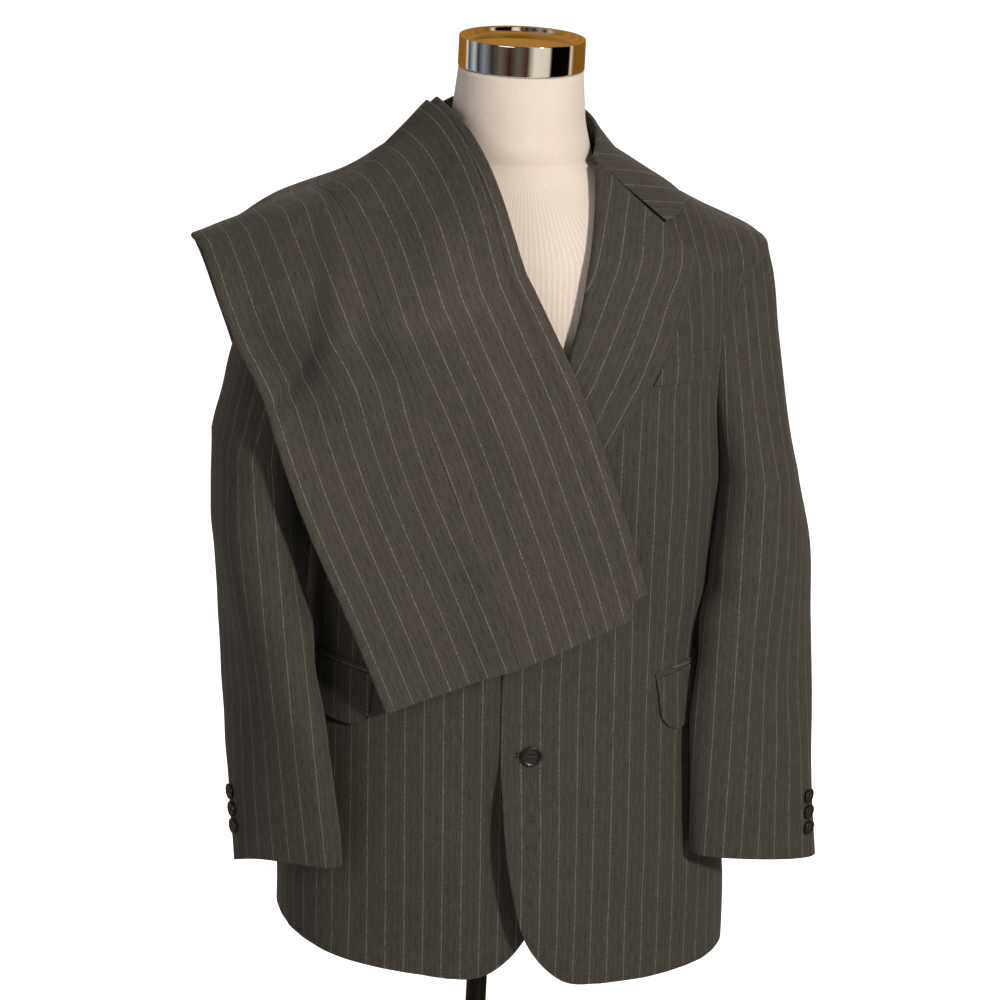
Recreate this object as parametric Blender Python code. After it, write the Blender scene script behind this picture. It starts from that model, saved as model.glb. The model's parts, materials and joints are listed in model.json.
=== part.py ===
"""A single-breasted, two-button suit on a limbless dress form.

The jacket is worn by the form, and the trousers are folded leg on leg and hung over the
wearer's right shoulder.  Metres, +Z up.  The front faces -Y, the wearer's left is +X, and the
origin is on the floor under the middle of the stand's base.

The jacket's trunk is a stack of level rings.  A place on it is (u, z): z is the height, and u runs
by arc length from 0 at centre front through +-0.5 at the side or shoulder ridge to +-1 at centre
back, positive on the wearer's left.  Panels are patches in (u, z), so what lies on a panel is
made from the same places, moved out.
"""

import math

import bpy
import numpy as np
from mathutils.bvhtree import BVHTree

# ---------------------------------------------------------------- driving sizes
WALL = 0.0020  # one ply of worsted with its interlining
LAPEL_WALL = 0.0024  # lapel and collar are two plies
SEAM = 0.0003  # clear gap where two pieces are sewn
LAP = 0.0028  # how far the left front stands off where it laps the right one
LAP_ON_LAPEL = 0.0056  # and how much more where the right lapel starts between them
NECK_POINT_Z = 1.352  # where the shoulder seam meets the collar
SHOULDER_POINT_Z = 1.272  # where the shoulder seam meets the armhole
HEM_Z = 0.563
SWING = 0.0244  # sideways lean of the hanging jacket, as a slope
TILT = 0.07  # how far the wearer's left hangs lower, as a slope
SIDE_SEAM_U = 0.430
BACK_SEAM_U = 0.600


def table(columns, *rows):
    """Rows of numbers under named columns."""
    return dict(zip(columns.split(), np.array(rows, float).T))


def read(rows, name, at):
    """A named column, read along the table's first column as a smooth curve through its rows."""
    keys = next(iter(rows.values()))
    values = rows[name]
    slopes = np.gradient(values, keys)
    at = np.clip(np.asarray(at, float), keys[0], keys[-1])
    i = np.clip(np.searchsorted(keys, at) - 1, 0, len(keys) - 2)
    span = keys[i + 1] - keys[i]
    t = (at - keys[i]) / span
    start = (1 + 2 * t) * (1 - t) ** 2 * values[i] + t * (1 - t) ** 2 * span * slopes[i]
    end = t * t * (3 - 2 * t) * values[i + 1] + t * t * (t - 1) * span * slopes[i + 1]
    return start + end


def smooth(x, low, high):
    """0 below low, 1 above high, with a soft step between."""
    t = np.clip((np.asarray(x, float) - low) / (high - low), 0.0, 1.0)
    return t * t * (3 - 2 * t)


# ---------------------------------------------------------------- the trunk
TRUNK = table(
    "height half_width front back squareness",
    (0.540, 0.2285, 0.1500, 0.1440, 2.30),
    (0.640, 0.2262, 0.1490, 0.1440, 2.30),
    (0.760, 0.2140, 0.1440, 0.1400, 2.30),
    (0.875, 0.2000, 0.1380, 0.1290, 2.30),
    (0.960, 0.1930, 0.1340, 0.1200, 2.30),
    (1.050, 0.1950, 0.1380, 0.1270, 2.30),
    (1.130, 0.1990, 0.1430, 0.1370, 2.30),
    (1.190, 0.2060, 0.1400, 0.1400, 2.25),
    (1.240, 0.2250, 0.1280, 0.1340, 2.20),
    (1.272, 0.2440, 0.1170, 0.1260, 2.15),
    (1.300, 0.1880, 0.1010, 0.1130, 2.10),
    (1.330, 0.1280, 0.0820, 0.0980, 2.05),
    (1.352, 0.0850, 0.0650, 0.0830, 2.00),
    (1.370, 0.0520, 0.0500, 0.0700, 2.00),
)
TRUNK_HEIGHTS = np.linspace(0.540, 1.370, 167)
HEIGHT_STEP = TRUNK_HEIGHTS[1] - TRUNK_HEIGHTS[0]
ARC = np.linspace(0.0, 1.0, 161)


def trunk_ring(height):
    """Half a level section, from centre front to centre back, even in arc length."""
    angle = np.linspace(0.0, math.pi, 241)
    power = 2 / read(TRUNK, "squareness", height)
    x = read(TRUNK, "half_width", height) * np.sin(angle) ** power
    depth = np.where(angle < math.pi / 2, read(TRUNK, "front", height), read(TRUNK, "back", height))
    y = -depth * np.sign(np.cos(angle)) * np.abs(np.cos(angle)) ** power
    side = np.argmax(x)
    length = np.concatenate([[0.0], np.cumsum(np.hypot(np.diff(x), np.diff(y)))])
    # The ridge is at u = 0.5 in every ring, whatever the front's and the back's share of it.
    share = np.where(
        np.arange(len(x)) <= side,
        0.5 * length / length[side],
        0.5 + 0.5 * (length - length[side]) / (length[-1] - length[side]),
    )
    return np.interp(ARC, share, x), np.interp(ARC, share, y), length[side], length[-1] - length[side]


LEFT_FULLNESS = 0.0095  # the left side stands out by this much above the waist
RINGS = [trunk_ring(height) for height in TRUNK_HEIGHTS]
RING_X = np.array([ring[0] for ring in RINGS])
RING_Y = np.array([ring[1] for ring in RINGS])
FRONT_ARC = np.array([ring[2] for ring in RINGS])
BACK_ARC = np.array([ring[3] for ring in RINGS])


def grid_read(grid, u, z):
    """Bilinear reading of a grid over (height, arc share)."""
    row = np.clip((z - TRUNK_HEIGHTS[0]) / HEIGHT_STEP, 0, len(TRUNK_HEIGHTS) - 1.001)
    col = np.clip(u * (len(ARC) - 1), 0, len(ARC) - 1.001)
    i = row.astype(int)
    j = col.astype(int)
    fr = row - i
    fc = col - j
    top = grid[i + 1, j] * (1 - fc) + grid[i + 1, j + 1] * fc
    low = grid[i, j] * (1 - fc) + grid[i, j + 1] * fc
    return low * (1 - fr) + top * fr


def trunk_base(u, z):
    """The trunk's outer surface at (u, z), hanging straight."""
    u = np.asarray(u, float)
    z = np.asarray(z, float)
    u, z = np.broadcast_arrays(u, z)
    turn = (u + 1) % 2 - 1
    share = np.abs(turn)
    x = grid_read(RING_X, share, z) * np.where(turn < 0, -1.0, 1.0)
    side = smooth(turn, 0.15, 0.40) * (1 - smooth(turn, 0.44, 0.59))
    x = x + LEFT_FULLNESS * side * smooth(z, 0.915, 1.0) * (1 - smooth(z, 1.05, 1.155))
    return np.stack([x, grid_read(RING_Y, share, z), z], -1)


def unit(vectors):
    return vectors / np.maximum(np.linalg.norm(vectors, axis=-1, keepdims=True), 1e-12)


def trunk_normal(u, z):
    du, dz = 0.012, 0.006
    along = trunk_base(u + du, z) - trunk_base(u - du, z)
    up = trunk_base(u, np.minimum(z + dz, 1.368)) - trunk_base(u, np.maximum(z - dz, 0.541))
    return unit(np.cross(along, up))


def trunk(u, z, out=0.0):
    """The trunk at (u, z), moved out along its normal."""
    u = np.asarray(u, float)
    z = np.asarray(z, float)
    u, z, out = np.broadcast_arrays(u, z, np.asarray(out, float))
    return trunk_base(u, z) + trunk_normal(u, z) * out[..., None]


def arc_of(u, z):
    """Metres along the ring for one unit of u."""
    row = np.interp(z, TRUNK_HEIGHTS, FRONT_ARC)
    back = np.interp(z, TRUNK_HEIGHTS, BACK_ARC)
    return 2 * np.where(np.abs(u) < 0.5, row, back)


def u_at(reach, z):
    """The u of the front's place that lies `reach` metres to the side of the centre line."""
    reach = np.asarray(reach, float)
    z = np.asarray(z, float)
    reach, z = np.broadcast_arrays(reach, z)
    half = len(ARC) // 2 + 1
    found = [
        math.copysign(np.interp(abs(r), grid_read_row(h)[:half], ARC[:half]), r)
        for r, h in zip(reach.ravel(), z.ravel())
    ]
    return np.array(found).reshape(reach.shape)


def grid_read_row(z):
    row = np.clip((z - TRUNK_HEIGHTS[0]) / HEIGHT_STEP, 0, len(TRUNK_HEIGHTS) - 1.001)
    i = int(row)
    return RING_X[i] * (1 - (row - i)) + RING_X[i + 1] * (row - i)


def swung(points):
    """The jacket swings a little to the wearer's left as it hangs from the shoulders."""
    x, y, z = np.moveaxis(np.asarray(points, float), -1, 0)
    loose = 1 - smooth(z, 1.02, 1.30)
    return np.stack([x + SWING * np.maximum(NECK_POINT_Z - z, 0), y, z - TILT * x * loose], -1)


# ---------------------------------------------------------------- making solids
MESHES = {}  # name: (points, triangles), which the trousers are draped over


def material(name, colour, roughness, metallic=0.0):
    made = bpy.data.materials.new(name)
    made.use_nodes = True
    shader = made.node_tree.nodes["Principled BSDF"]
    shader.inputs["Base Color"].default_value = (*colour, 1.0)
    shader.inputs["Roughness"].default_value = roughness
    shader.inputs["Metallic"].default_value = metallic
    made.diffuse_color = (*colour, 1.0)
    return made


def add(name, points, faces, finish):
    """One named object from points and triangles, turned to face out."""
    points = np.asarray(points, float)
    faces = np.asarray(faces, int)
    corners = points[faces]
    volume = np.einsum("ij,ij->i", corners[:, 0], np.cross(corners[:, 1], corners[:, 2])).sum()
    if volume < 0:
        faces = faces[:, ::-1]
    mesh = bpy.data.meshes.new(name)
    mesh.from_pydata(points.tolist(), [], faces.tolist())
    mesh.materials.append(finish)
    mesh.shade_smooth()
    mesh.set_sharp_from_angle(angle=math.radians(40))
    made = bpy.data.objects.new(name, mesh)
    bpy.context.scene.collection.objects.link(made)
    MESHES[name] = (points, faces)
    return made


def quads(index):
    """Triangles over a grid of point numbers, two a cell."""
    a, b = index[:-1, :-1].ravel(), index[:-1, 1:].ravel()
    c, d = index[1:, 1:].ravel(), index[1:, :-1].ravel()
    return np.concatenate([np.stack([a, b, c], 1), np.stack([a, c, d], 1)])


def wall(name, outer, inner, finish):
    """A closed wall between two grids of points: cloth with its real thickness."""
    rows, columns = outer.shape[:2]
    index = np.arange(rows * columns).reshape(rows, columns)
    rim = np.concatenate([index[0], index[1:, -1], index[-1, -2::-1], index[-2::-1, 0]])
    side = quads(np.stack([rim, rim + rows * columns]))
    points = np.concatenate([outer.reshape(-1, 3), inner.reshape(-1, 3)])
    faces = np.concatenate([quads(index), quads(index)[:, ::-1] + rows * columns, side[:, ::-1]])
    return add(name, points, faces, finish)


def on_trunk(name, places, out, thickness, finish, lift=0.0):
    """A wall on the trunk at a grid of (u, z) places: its inside is `out` off the surface."""
    u, z = places[..., 0], places[..., 1]
    inner = swung(trunk(u, z, out + lift))
    outer = swung(trunk(u, z, out + thickness + lift))
    return wall(name, outer, inner, finish)


def loft(name, rings, finish):
    """A solid through closed rings of as many points each, with flat ends."""
    rings = np.asarray(rings, float)
    count, around = rings.shape[:2]
    index = np.arange(count * around).reshape(count, around)
    closed = np.concatenate([index, index[:, :1]], axis=1)
    ends = [rings[0].mean(axis=0), rings[-1].mean(axis=0)]
    points = np.concatenate([rings.reshape(-1, 3), ends])
    low, high = count * around, count * around + 1
    start, end = closed[0], closed[-1]
    caps = [(low, start[i + 1], start[i]) for i in range(around)]
    caps += [(high, end[i], end[i + 1]) for i in range(around)]
    return add(name, points, np.concatenate([quads(closed), caps]), finish)


def turned(name, profile, origin, axis, sides, finish):
    """A solid turned about an axis from (distance along it, radius) pairs."""
    axis = unit(np.asarray(axis, float))
    first = unit(np.cross(axis, (0.0, 0.0, 1.0) if abs(axis[2]) < 0.9 else (1.0, 0.0, 0.0)))
    second = np.cross(axis, first)
    angle = np.arange(sides) * 2 * math.pi / sides
    circle = np.cos(angle)[:, None] * first + np.sin(angle)[:, None] * second
    rings = [np.asarray(origin) + along * axis + radius * circle for along, radius in profile]
    return loft(name, rings, finish)


def between(left, right, columns):
    """A grid of places on straight lines between two edges given row by row."""
    across = np.linspace(0.0, 1.0, columns)[None, :, None]
    return left[:, None] * (1 - across) + right[:, None] * across


def sided(places, side):
    """Places made for the wearer's left, or mirrored for the right."""
    mirrored = places.copy()
    mirrored[..., 0] *= side
    return mirrored


SIDES = (("left", 1), ("right", -1))
WORSTED = material("charcoal pinstripe worsted", (0.060, 0.053, 0.043), 0.85)
TROUSERS = material("charcoal pinstripe worsted, trousers", (0.075, 0.066, 0.055), 0.85)
HORN = material("dark horn button", (0.020, 0.017, 0.013), 0.35)
JERSEY = material("off-white form jersey", (0.82, 0.68, 0.58), 0.9)
CHROME = material("polished chrome", (0.78, 0.77, 0.75), 0.08, 1.0)
STEEL = material("black enamelled steel", (0.012, 0.010, 0.009), 0.4)

# ---------------------------------------------------------------- jacket: trunk panels
ARMHOLE_Z, ARMHOLE_HALF_HEIGHT, ARMHOLE_HALF_WIDTH = 1.183, 0.089, 0.125
FRONT_ARM_TURN, BACK_ARM_TURN = 236.0, 323.0  # where the side seams meet the armhole


def armhole(turn, inset=0.0):
    """The armhole seam as (u, z) places: turn 90 is the shoulder point, 180 the front."""
    turn = np.radians(np.asarray(turn, float))
    up, back = np.sin(turn), np.cos(turn)
    z = ARMHOLE_Z + (ARMHOLE_HALF_HEIGHT - inset) * up
    arc = np.interp(z, TRUNK_HEIGHTS, FRONT_ARC + BACK_ARC)
    # The seam drops from the shoulder point more steeply in front than behind.
    steep = 0.12 * smooth(up, -0.75, 0.0) + 0.10 * np.exp(-(((up - 0.45) / 0.30) ** 2))
    u = 0.5 + (ARMHOLE_HALF_WIDTH - inset / arc) * back * np.where(back < 0, 1 - steep, 1.0)
    return np.stack([u, z], -1)


# The front's inner edge: round the cutaway corner, up the edge, then up the roll line.
FRONT_EDGE = table(
    "row reach height side_height",
    (0, 0.0755, 0.5560, 0.5630),
    (1, 0.0445, 0.5590, 0.5830),
    (2, 0.0190, 0.5760, 0.6080),
    (3, -0.0050, 0.6110, 0.6440),
    (4, -0.0180, 0.6600, 0.6900),
    (5, -0.0255, 0.7150, 0.7400),
    (6, -0.0280, 0.7800, 0.8000),
    (7, -0.0280, 0.8500, 0.8600),
    (8, -0.0250, 0.9200, 0.9200),
    (9, -0.0110, 0.9900, 0.9850),
    (10, 0.0025, 1.0600, 1.0480),
    (11, 0.0140, 1.1250, 1.1090),
    (12, 0.0260, 1.1870, 0.0),
    (13, 0.0380, 1.2260, 0.0),
    (14, 0.0470, 1.2650, 0.0),
    (15, 0.0550, 1.2980, 0.0),
    (16, 0.0605, 1.3240, 0.0),
    (17, 0.0655, 1.3510, 0.0),
)
FRONT_TURNS = np.linspace(FRONT_ARM_TURN, 90.0, 9)
BACK_TURNS = np.linspace(BACK_ARM_TURN - 360.0, 90.0, 7)
UNDER_TURNS = np.linspace(FRONT_ARM_TURN, BACK_ARM_TURN, 4)
BACK_HEIGHTS = (0.565, 0.620, 0.690, 0.760, 0.825, 0.885, 0.940, 0.990, 1.040, 1.088)


def seam_shift(u, z):
    """Half a seam's gap, as a share of the ring."""
    return SEAM / 2 / arc_of(u, z)


def front_places(columns):
    """The front panel, from its edge and roll line to the side seam and armhole."""
    reach, z = FRONT_EDGE["reach"], FRONT_EDGE["height"]
    ridge = 0.5 - seam_shift(0.499, NECK_POINT_Z)
    neck = [[0.400, NECK_POINT_Z], [ridge, NECK_POINT_Z]]
    left = np.concatenate([np.stack([u_at(reach, z), z], -1), neck])
    low = FRONT_EDGE["side_height"][:12]
    side = np.stack([SIDE_SEAM_U - seam_shift(SIDE_SEAM_U, low), low], -1)
    arm = armhole(FRONT_TURNS, -SEAM / 2)
    side[-1] = arm[0]
    side[-1, 0] = side[-2, 0]
    arm[-1, 0] = 0.5 - seam_shift(0.499, SHOULDER_POINT_Z)
    return between(left, np.concatenate([side, arm[1:]]), columns)


def back_places(columns):
    """The back panel, from the centre-back seam and neckline to the side seam and armhole."""
    low = np.array(BACK_HEIGHTS)
    rise = np.array([1.130, 1.190, 1.245, 1.300, 1.350])
    centre = np.concatenate([low, rise])
    centre = np.stack([1 - seam_shift(1.0, centre), centre], -1)
    ridge = 0.5 + seam_shift(0.501, NECK_POINT_Z)
    left = np.concatenate([centre, [[0.80, NECK_POINT_Z], [ridge, NECK_POINT_Z]]])
    side = np.stack([BACK_SEAM_U + seam_shift(BACK_SEAM_U, low), low], -1)
    arm = armhole(BACK_TURNS, -SEAM / 2)
    arm[0, 0] = side[-1, 0]
    arm[-1, 0] = 0.5 + seam_shift(0.501, SHOULDER_POINT_Z)
    return between(left, np.concatenate([side, arm]), columns)


def side_places(rows):
    """The side panel under the arm."""
    top = armhole(UNDER_TURNS, -SEAM / 2)
    share = np.linspace(0.0, 1.0, rows)[:, None]
    u = np.linspace(SIDE_SEAM_U, BACK_SEAM_U, len(UNDER_TURNS))
    z = HEM_Z + 0.001 + (top[:, 1] - HEM_Z - 0.001) * share
    # The columns lean from even spacing at the hem to the armhole's own places at the top.
    u = u * (1 - share**3) + top[:, 0] * share**3
    u[:, 0] = SIDE_SEAM_U + seam_shift(SIDE_SEAM_U, z[:, 0])
    u[:, -1] = BACK_SEAM_U - seam_shift(BACK_SEAM_U, z[:, -1])
    return np.stack([u, z], -1)


def lap_lift(u, z):
    """The left front stands off the right one, and off its lapel, where it laps them."""
    reach = u * arc_of(u, z)
    lapel = smooth(z, 0.850, 0.918) * (1 - smooth(z, 1.06, 1.13))
    plain = LAP * (1 - smooth(z, 1.06, 1.14))
    return (plain + LAP_ON_LAPEL * lapel) * (1 - smooth(reach, 0.034, 0.070))


def make_trunk_panels():
    for name, side in SIDES:
        front = front_places(10)
        lift = lap_lift(front[..., 0], front[..., 1]) if side > 0 else 0.0
        on_trunk(f"front_{name}", sided(front, side), -WALL, WALL, WORSTED, lift)
        on_trunk(f"side_{name}", sided(side_places(9), side), -WALL, WALL, WORSTED)
        on_trunk(f"back_{name}", sided(back_places(9), side), -WALL, WALL, WORSTED)


# ---------------------------------------------------------------- jacket: lapels and collar
LAPEL_OUT = 0.0015  # the lapel's inside stands this far off the front
LAPEL = table(
    "row roll_height edge_reach edge_height",
    (0, 0.936, -0.0130, 0.936),
    (1, 0.975, 0.0080, 0.985),
    (2, 1.025, 0.0340, 1.035),
    (3, 1.085, 0.0600, 1.085),
    (4, 1.140, 0.0860, 1.130),
    (5, 1.190, 0.1120, 1.170),
    (6, 1.230, 0.1290, 1.203),
    (7, 1.268, 0.1430, 1.236),
    (8, 1.305, 0.1510, 1.260),
    (9, 1.3485, 0.1540, 1.2735),
)


def roll_reach(z):
    """How far the roll line lies from the centre line at a height."""
    return np.interp(z, FRONT_EDGE["height"], FRONT_EDGE["reach"])


def lapel_places(columns):
    roll_z = LAPEL["roll_height"]
    left = np.stack([roll_reach(roll_z) - 0.0005, roll_z], -1)
    right = np.stack([LAPEL["edge_reach"], LAPEL["edge_height"]], -1)
    flat = between(left, right, columns)
    return np.stack([u_at(flat[..., 0], flat[..., 1]), flat[..., 1]], -1)


def make_lapels():
    for name, side in SIDES:
        places = lapel_places(6)
        lift = lap_lift(places[..., 0], places[..., 1]) if side > 0 else 0.0
        roll = np.linspace(1.0, 0.0, 6)[None, :] ** 2 * 0.002
        on_trunk(f"lapel_{name}", sided(places, side), LAPEL_OUT, LAPEL_WALL, WORSTED, lift + roll)


COLLAR = table(
    "around fold_x fold_y fold_z meet_u meet_z edge_u edge_z",
    (0.00, 0.0660, -0.0450, 1.3535, 0.2790, 1.3370, 0.4280, 1.3130),
    (0.15, 0.0745, -0.0220, 1.3640, 0.3700, 1.3430, 0.4600, 1.3190),
    (0.35, 0.0790, 0.0120, 1.3750, 0.5000, 1.3490, 0.5300, 1.3270),
    (0.55, 0.0700, 0.0460, 1.3840, 0.6400, 1.3530, 0.6600, 1.3350),
    (0.78, 0.0390, 0.0760, 1.3900, 0.8200, 1.3550, 0.8400, 1.3420),
    (1.00, 0.0000, 0.0850, 1.3920, 1.0000, 1.3560, 1.0000, 1.3440),
)
NOTCH = (0.2815, 1.3005)  # (u, z) of the notch's inner corner
NOTCH_SHARE, MEET_SHARE = 0.66, 0.30  # where the fall's width passes the notch, and reaches the trunk


def collar_fall(around, share):
    """The collar's outer surface: `around` runs from the left end (0) to the right (2)."""
    around, share = np.broadcast_arrays(np.asarray(around, float), np.asarray(share, float))
    side = np.where(around > 1, -1.0, 1.0)
    turn = np.where(around > 1, 2 - around, around)
    fold = np.stack([read(COLLAR, name, turn) for name in ("fold_x", "fold_y", "fold_z")], -1)
    meet = np.stack([read(COLLAR, "meet_u", turn), read(COLLAR, "meet_z", turn)], -1)
    edge = np.stack([read(COLLAR, "edge_u", turn), read(COLLAR, "edge_z", turn)], -1)
    down = np.clip((share - MEET_SHARE) / (1 - MEET_SHARE), 0, 1)[..., None]
    place = meet + (edge - meet) * down
    # At each front end the fall follows the gorge seam to the notch, then its own free edge.
    knee = (NOTCH_SHARE - MEET_SHARE) / (1 - MEET_SHARE)
    notch = np.array(NOTCH)
    first = meet + (notch - meet) * np.clip(down / knee, 0, 1)
    bent = first + (edge - notch) * np.clip((down - knee) / (1 - knee), 0, 1)
    weight = (1 - smooth(turn, 0.0, 0.30))[..., None]
    place = place * (1 - weight) + bent * weight
    off = LAPEL_OUT + 0.0004 + LAPEL_WALL + 0.0035 * (1 - down[..., 0]) * smooth(turn, 0.05, 0.4)
    low = trunk(place[..., 0], place[..., 1], off)
    rise = np.clip(share / MEET_SHARE, 0, 1)[..., None]
    out = low * rise + fold * (1 - rise)
    out[..., 0] *= side
    return out


def grid_normals(function, a, b):
    step = 0.004
    one = function(a + step, b) - function(a - step, b)
    two = function(a, b + step) - function(a, b - step)
    return unit(np.cross(one, two))


def make_collar():
    around = np.linspace(0.0, 2.0, 27)[:, None]
    share = np.array([0.0, 0.14, MEET_SHARE, 0.48, NOTCH_SHARE, 0.83, 1.0])[None, :]
    outer = collar_fall(around, share)
    clipped = np.clip(around, 0.01, 1.99), np.clip(share, 0.01, 0.99)
    inward = -grid_normals(collar_fall, *clipped)
    if inward[13, 4, 1] > 0:
        inward = -inward
    inner = outer + inward * LAPEL_WALL
    wall("collar_fall", swung(outer), swung(inner), WORSTED)
    # The stand rises from the neck seam to just under the fold, inside the fall.
    around = np.linspace(0.16, 1.84, 23)
    top = collar_fall(around, 0.0)
    middle = np.array([0.0, 0.0, 0.0])
    flat = unit((top - middle) * (1, 1, 0))
    top = top - flat * (LAPEL_WALL + 0.0010) - np.array([0, 0, LAPEL_WALL + 0.0014])
    turn = np.where(around > 1, 2 - around, around)
    seam_u = np.maximum(read(COLLAR, "meet_u", turn), 0.36)
    low = trunk(np.where(around > 1, -seam_u, seam_u), NECK_POINT_Z, 0.0)
    low = low - flat * 0.0015 + np.array([0, 0, 0.0012])
    rows = np.linspace(0.0, 1.0, 3)[:, None, None]
    outer = low * (1 - rows) + top * rows
    wall("collar_stand", swung(outer), swung(outer - flat * WALL), WORSTED)


# ---------------------------------------------------------------- jacket: sleeves
SLEEVE = table(
    "drop height x y outer inner long turn",
    (0.0, 1.060, 0.2410, -0.014, 0.0440, 0.0360, 0.0780, 16),
    (1.0, 0.980, 0.2460, -0.028, 0.0450, 0.0400, 0.0800, 28),
    (2.0, 0.900, 0.2420, -0.048, 0.0430, 0.0330, 0.0820, 41),
    (3.0, 0.820, 0.2400, -0.067, 0.0390, 0.0240, 0.0800, 54),
    (4.0, 0.740, 0.2420, -0.083, 0.0330, 0.0190, 0.0750, 66),
    (5.0, 0.663, 0.2460, -0.092, 0.0280, 0.0180, 0.0720, 75),
)
# What each sleeve adds to the table: empty sleeves never hang alike.
HANG = {
    "left": table(
        "drop x y long turn height",
        (0, 0.0, 0.0, 0.0, 0, 0.0),
        (1, -0.001, -0.001, 0.0, 2, 0.002),
        (2, -0.003, -0.003, 0.001, 4, 0.008),
        (3, -0.006, -0.005, -0.0005, 2, 0.014),
        (4, -0.008, -0.007, -0.001, 0, 0.020),
        (5, -0.009, -0.008, -0.001, 0, 0.022),
    ),
    "right": table(
        "drop x y long turn height",
        (0, 0.003, -0.002, 0.0, -11, 0.0),
        (1, 0.0015, -0.0025, 0.0, -28, -0.0005),
        (2, -0.0005, -0.004, 0.0, -30, -0.002),
        (3, -0.0045, -0.006, -0.001, -30.5, -0.004),
        (4, -0.011, -0.0075, -0.005, -30, -0.0055),
        (5, -0.019, -0.008, -0.009, -29, -0.006),
    ),
}
CUFF_SLANT = 0.006  # the cuff is this much lower at the back seam than half way round
CROWN = 0.34  # share of the sleeve's rows that belong to the crown


def sleeve(turn, down, name, out=0.0):
    """A sleeve's surface: `turn` as round the armhole, `down` from 0 at the seam to 1 at the cuff."""
    turn, down, out = np.broadcast_arrays(
        np.asarray(turn, float), np.asarray(down, float), np.asarray(out, float)
    )
    angle = np.radians(turn)
    drop = np.clip((down - CROWN) / (1 - CROWN), 0, 1) * 5
    hang = [read(HANG[name], column, drop) for column in ("x", "y", "long", "turn", "height")]
    add_x, add_y, add_long, add_turn, add_height = hang
    half_x = np.where(np.sin(angle) < 0, read(SLEEVE, "inner", drop), read(SLEEVE, "outer", drop))
    half_y = read(SLEEVE, "long", drop) + add_long
    x = half_x * np.sign(np.sin(angle)) * np.abs(np.sin(angle)) ** 0.9
    y = half_y * np.sign(np.cos(angle)) * np.abs(np.cos(angle)) ** 0.9
    slope_x, slope_y = x / half_x**2, y / half_y**2
    steep = np.maximum(np.hypot(slope_x, slope_y), 1e-9)
    x, y = x + slope_x / steep * out, y + slope_y / steep * out
    yaw = np.radians(read(SLEEVE, "turn", drop) + add_turn)
    tube = np.stack(
        [
            read(SLEEVE, "x", drop) + add_x + x * np.cos(yaw) + y * np.sin(yaw),
            read(SLEEVE, "y", drop) + add_y - x * np.sin(yaw) + y * np.cos(yaw),
            read(SLEEVE, "height", drop) + add_height - CUFF_SLANT * smooth(drop, 3.0, 5.0) * y / half_y,
        ],
        -1,
    )
    seam = armhole(turn, SEAM)
    start = trunk(seam[..., 0], seam[..., 1], out)
    # Each lengthwise line of the crown leaves the armhole outwards and then turns down.
    knee = start + (tube - start) * np.array([0.42, 0.42, 0.46])
    t = np.clip(down / CROWN, 0, 1)[..., None]
    crown = start * (1 - t) ** 2 + knee * 2 * t * (1 - t) + tube * t * t
    return np.where((down < CROWN)[..., None], crown, tube)


TOP_TURNS = np.concatenate([BACK_TURNS[2:], FRONT_TURNS[::-1][1:-1]])
UNDER_SLEEVE_TURNS = np.concatenate([FRONT_TURNS[1::-1], UNDER_TURNS[1:], BACK_TURNS[1:3] + 360])
SLEEVE_ROWS = np.array([0.0, 0.08, 0.17, 0.26, 0.34, 0.42, 0.50, 0.58, 0.66, 0.74, 0.83, 0.92, 1.0])
SEAM_TURN = 0.6  # the gap between the top and the under sleeve, in degrees


def sleeve_normal(turn, down, name):
    """Outward directions of a sleeve's surface, from small steps round it and down it."""
    round_step = sleeve(turn + 2, down, name) - sleeve(turn - 2, down, name)
    low, high = np.maximum(down - 0.02, 0.0), np.minimum(down + 0.02, 1.0)
    out = unit(np.cross(round_step, sleeve(turn, high, name) - sleeve(turn, low, name)))
    # At the shoulder point the seam edge is square to the trunk, not to the falling sleeve.
    square = unit(sleeve(turn, down, name, 0.001) - sleeve(turn, down, name))
    share = smooth(np.sin(np.radians(turn)), 0.7, 0.95) * (1 - smooth(down, 0.0, 0.08))
    return unit(out + (square - out) * share[..., None])


def sleeve_piece(piece, name, side, turns):
    """A top or under sleeve between its two seams, each half a gap in from the seam."""
    turns = np.array(turns, float)
    turns[0] += SEAM_TURN / 2
    turns[-1] -= SEAM_TURN / 2
    grid = turns[None, :], SLEEVE_ROWS[:, None]
    outer = sleeve(*grid, name)
    inner = outer - WALL * sleeve_normal(*grid, name)
    wall(f"{piece}_{name}", swung(outer * (side, 1, 1)), swung(inner * (side, 1, 1)), WORSTED)


def make_sleeves():
    for name, side in SIDES:
        sleeve_piece("sleeve_top", name, side, TOP_TURNS)
        sleeve_piece("sleeve_under", name, side, UNDER_SLEEVE_TURNS)


# ---------------------------------------------------------------- jacket: pockets and buttons
FLAP_DEPTH, FLAP_WIDTH, FLAP_CORNER = 0.056, 0.150, 0.022
JET_DEPTH = 0.006
PLY = 0.0012  # pocket pieces are one turned ply
# Front end, its height and the rise of the mouth towards the side, for each hip pocket.
HIP_POCKET = {"left": (0.1270, 0.8690, 0.16), "right": (0.1460, 0.8580, 0.02)}
WELT_TOP, WELT_DEPTH, WELT_START, WELT_END = 1.186, 0.025, 0.122, 0.176


def hip_places(name, along, below):
    """Places on a front, `along` metres from the pocket's front end and `below` its mouth."""
    reach, height, rise = HIP_POCKET[name]
    along, below = np.broadcast_arrays(np.asarray(along, float), np.asarray(below, float))
    z = height + rise * along - below
    start = float(u_at(reach, height))
    return np.stack([start + along / arc_of(start, height), z], -1)


def flap_depth(along):
    """A flap's depth along its width, with a rounded corner at each end."""
    near = np.minimum(along, FLAP_WIDTH - along)
    corner = np.clip(1 - near / FLAP_CORNER, 0, 1)
    return FLAP_DEPTH - FLAP_CORNER * (1 - np.sqrt(1 - corner**2))


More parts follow.
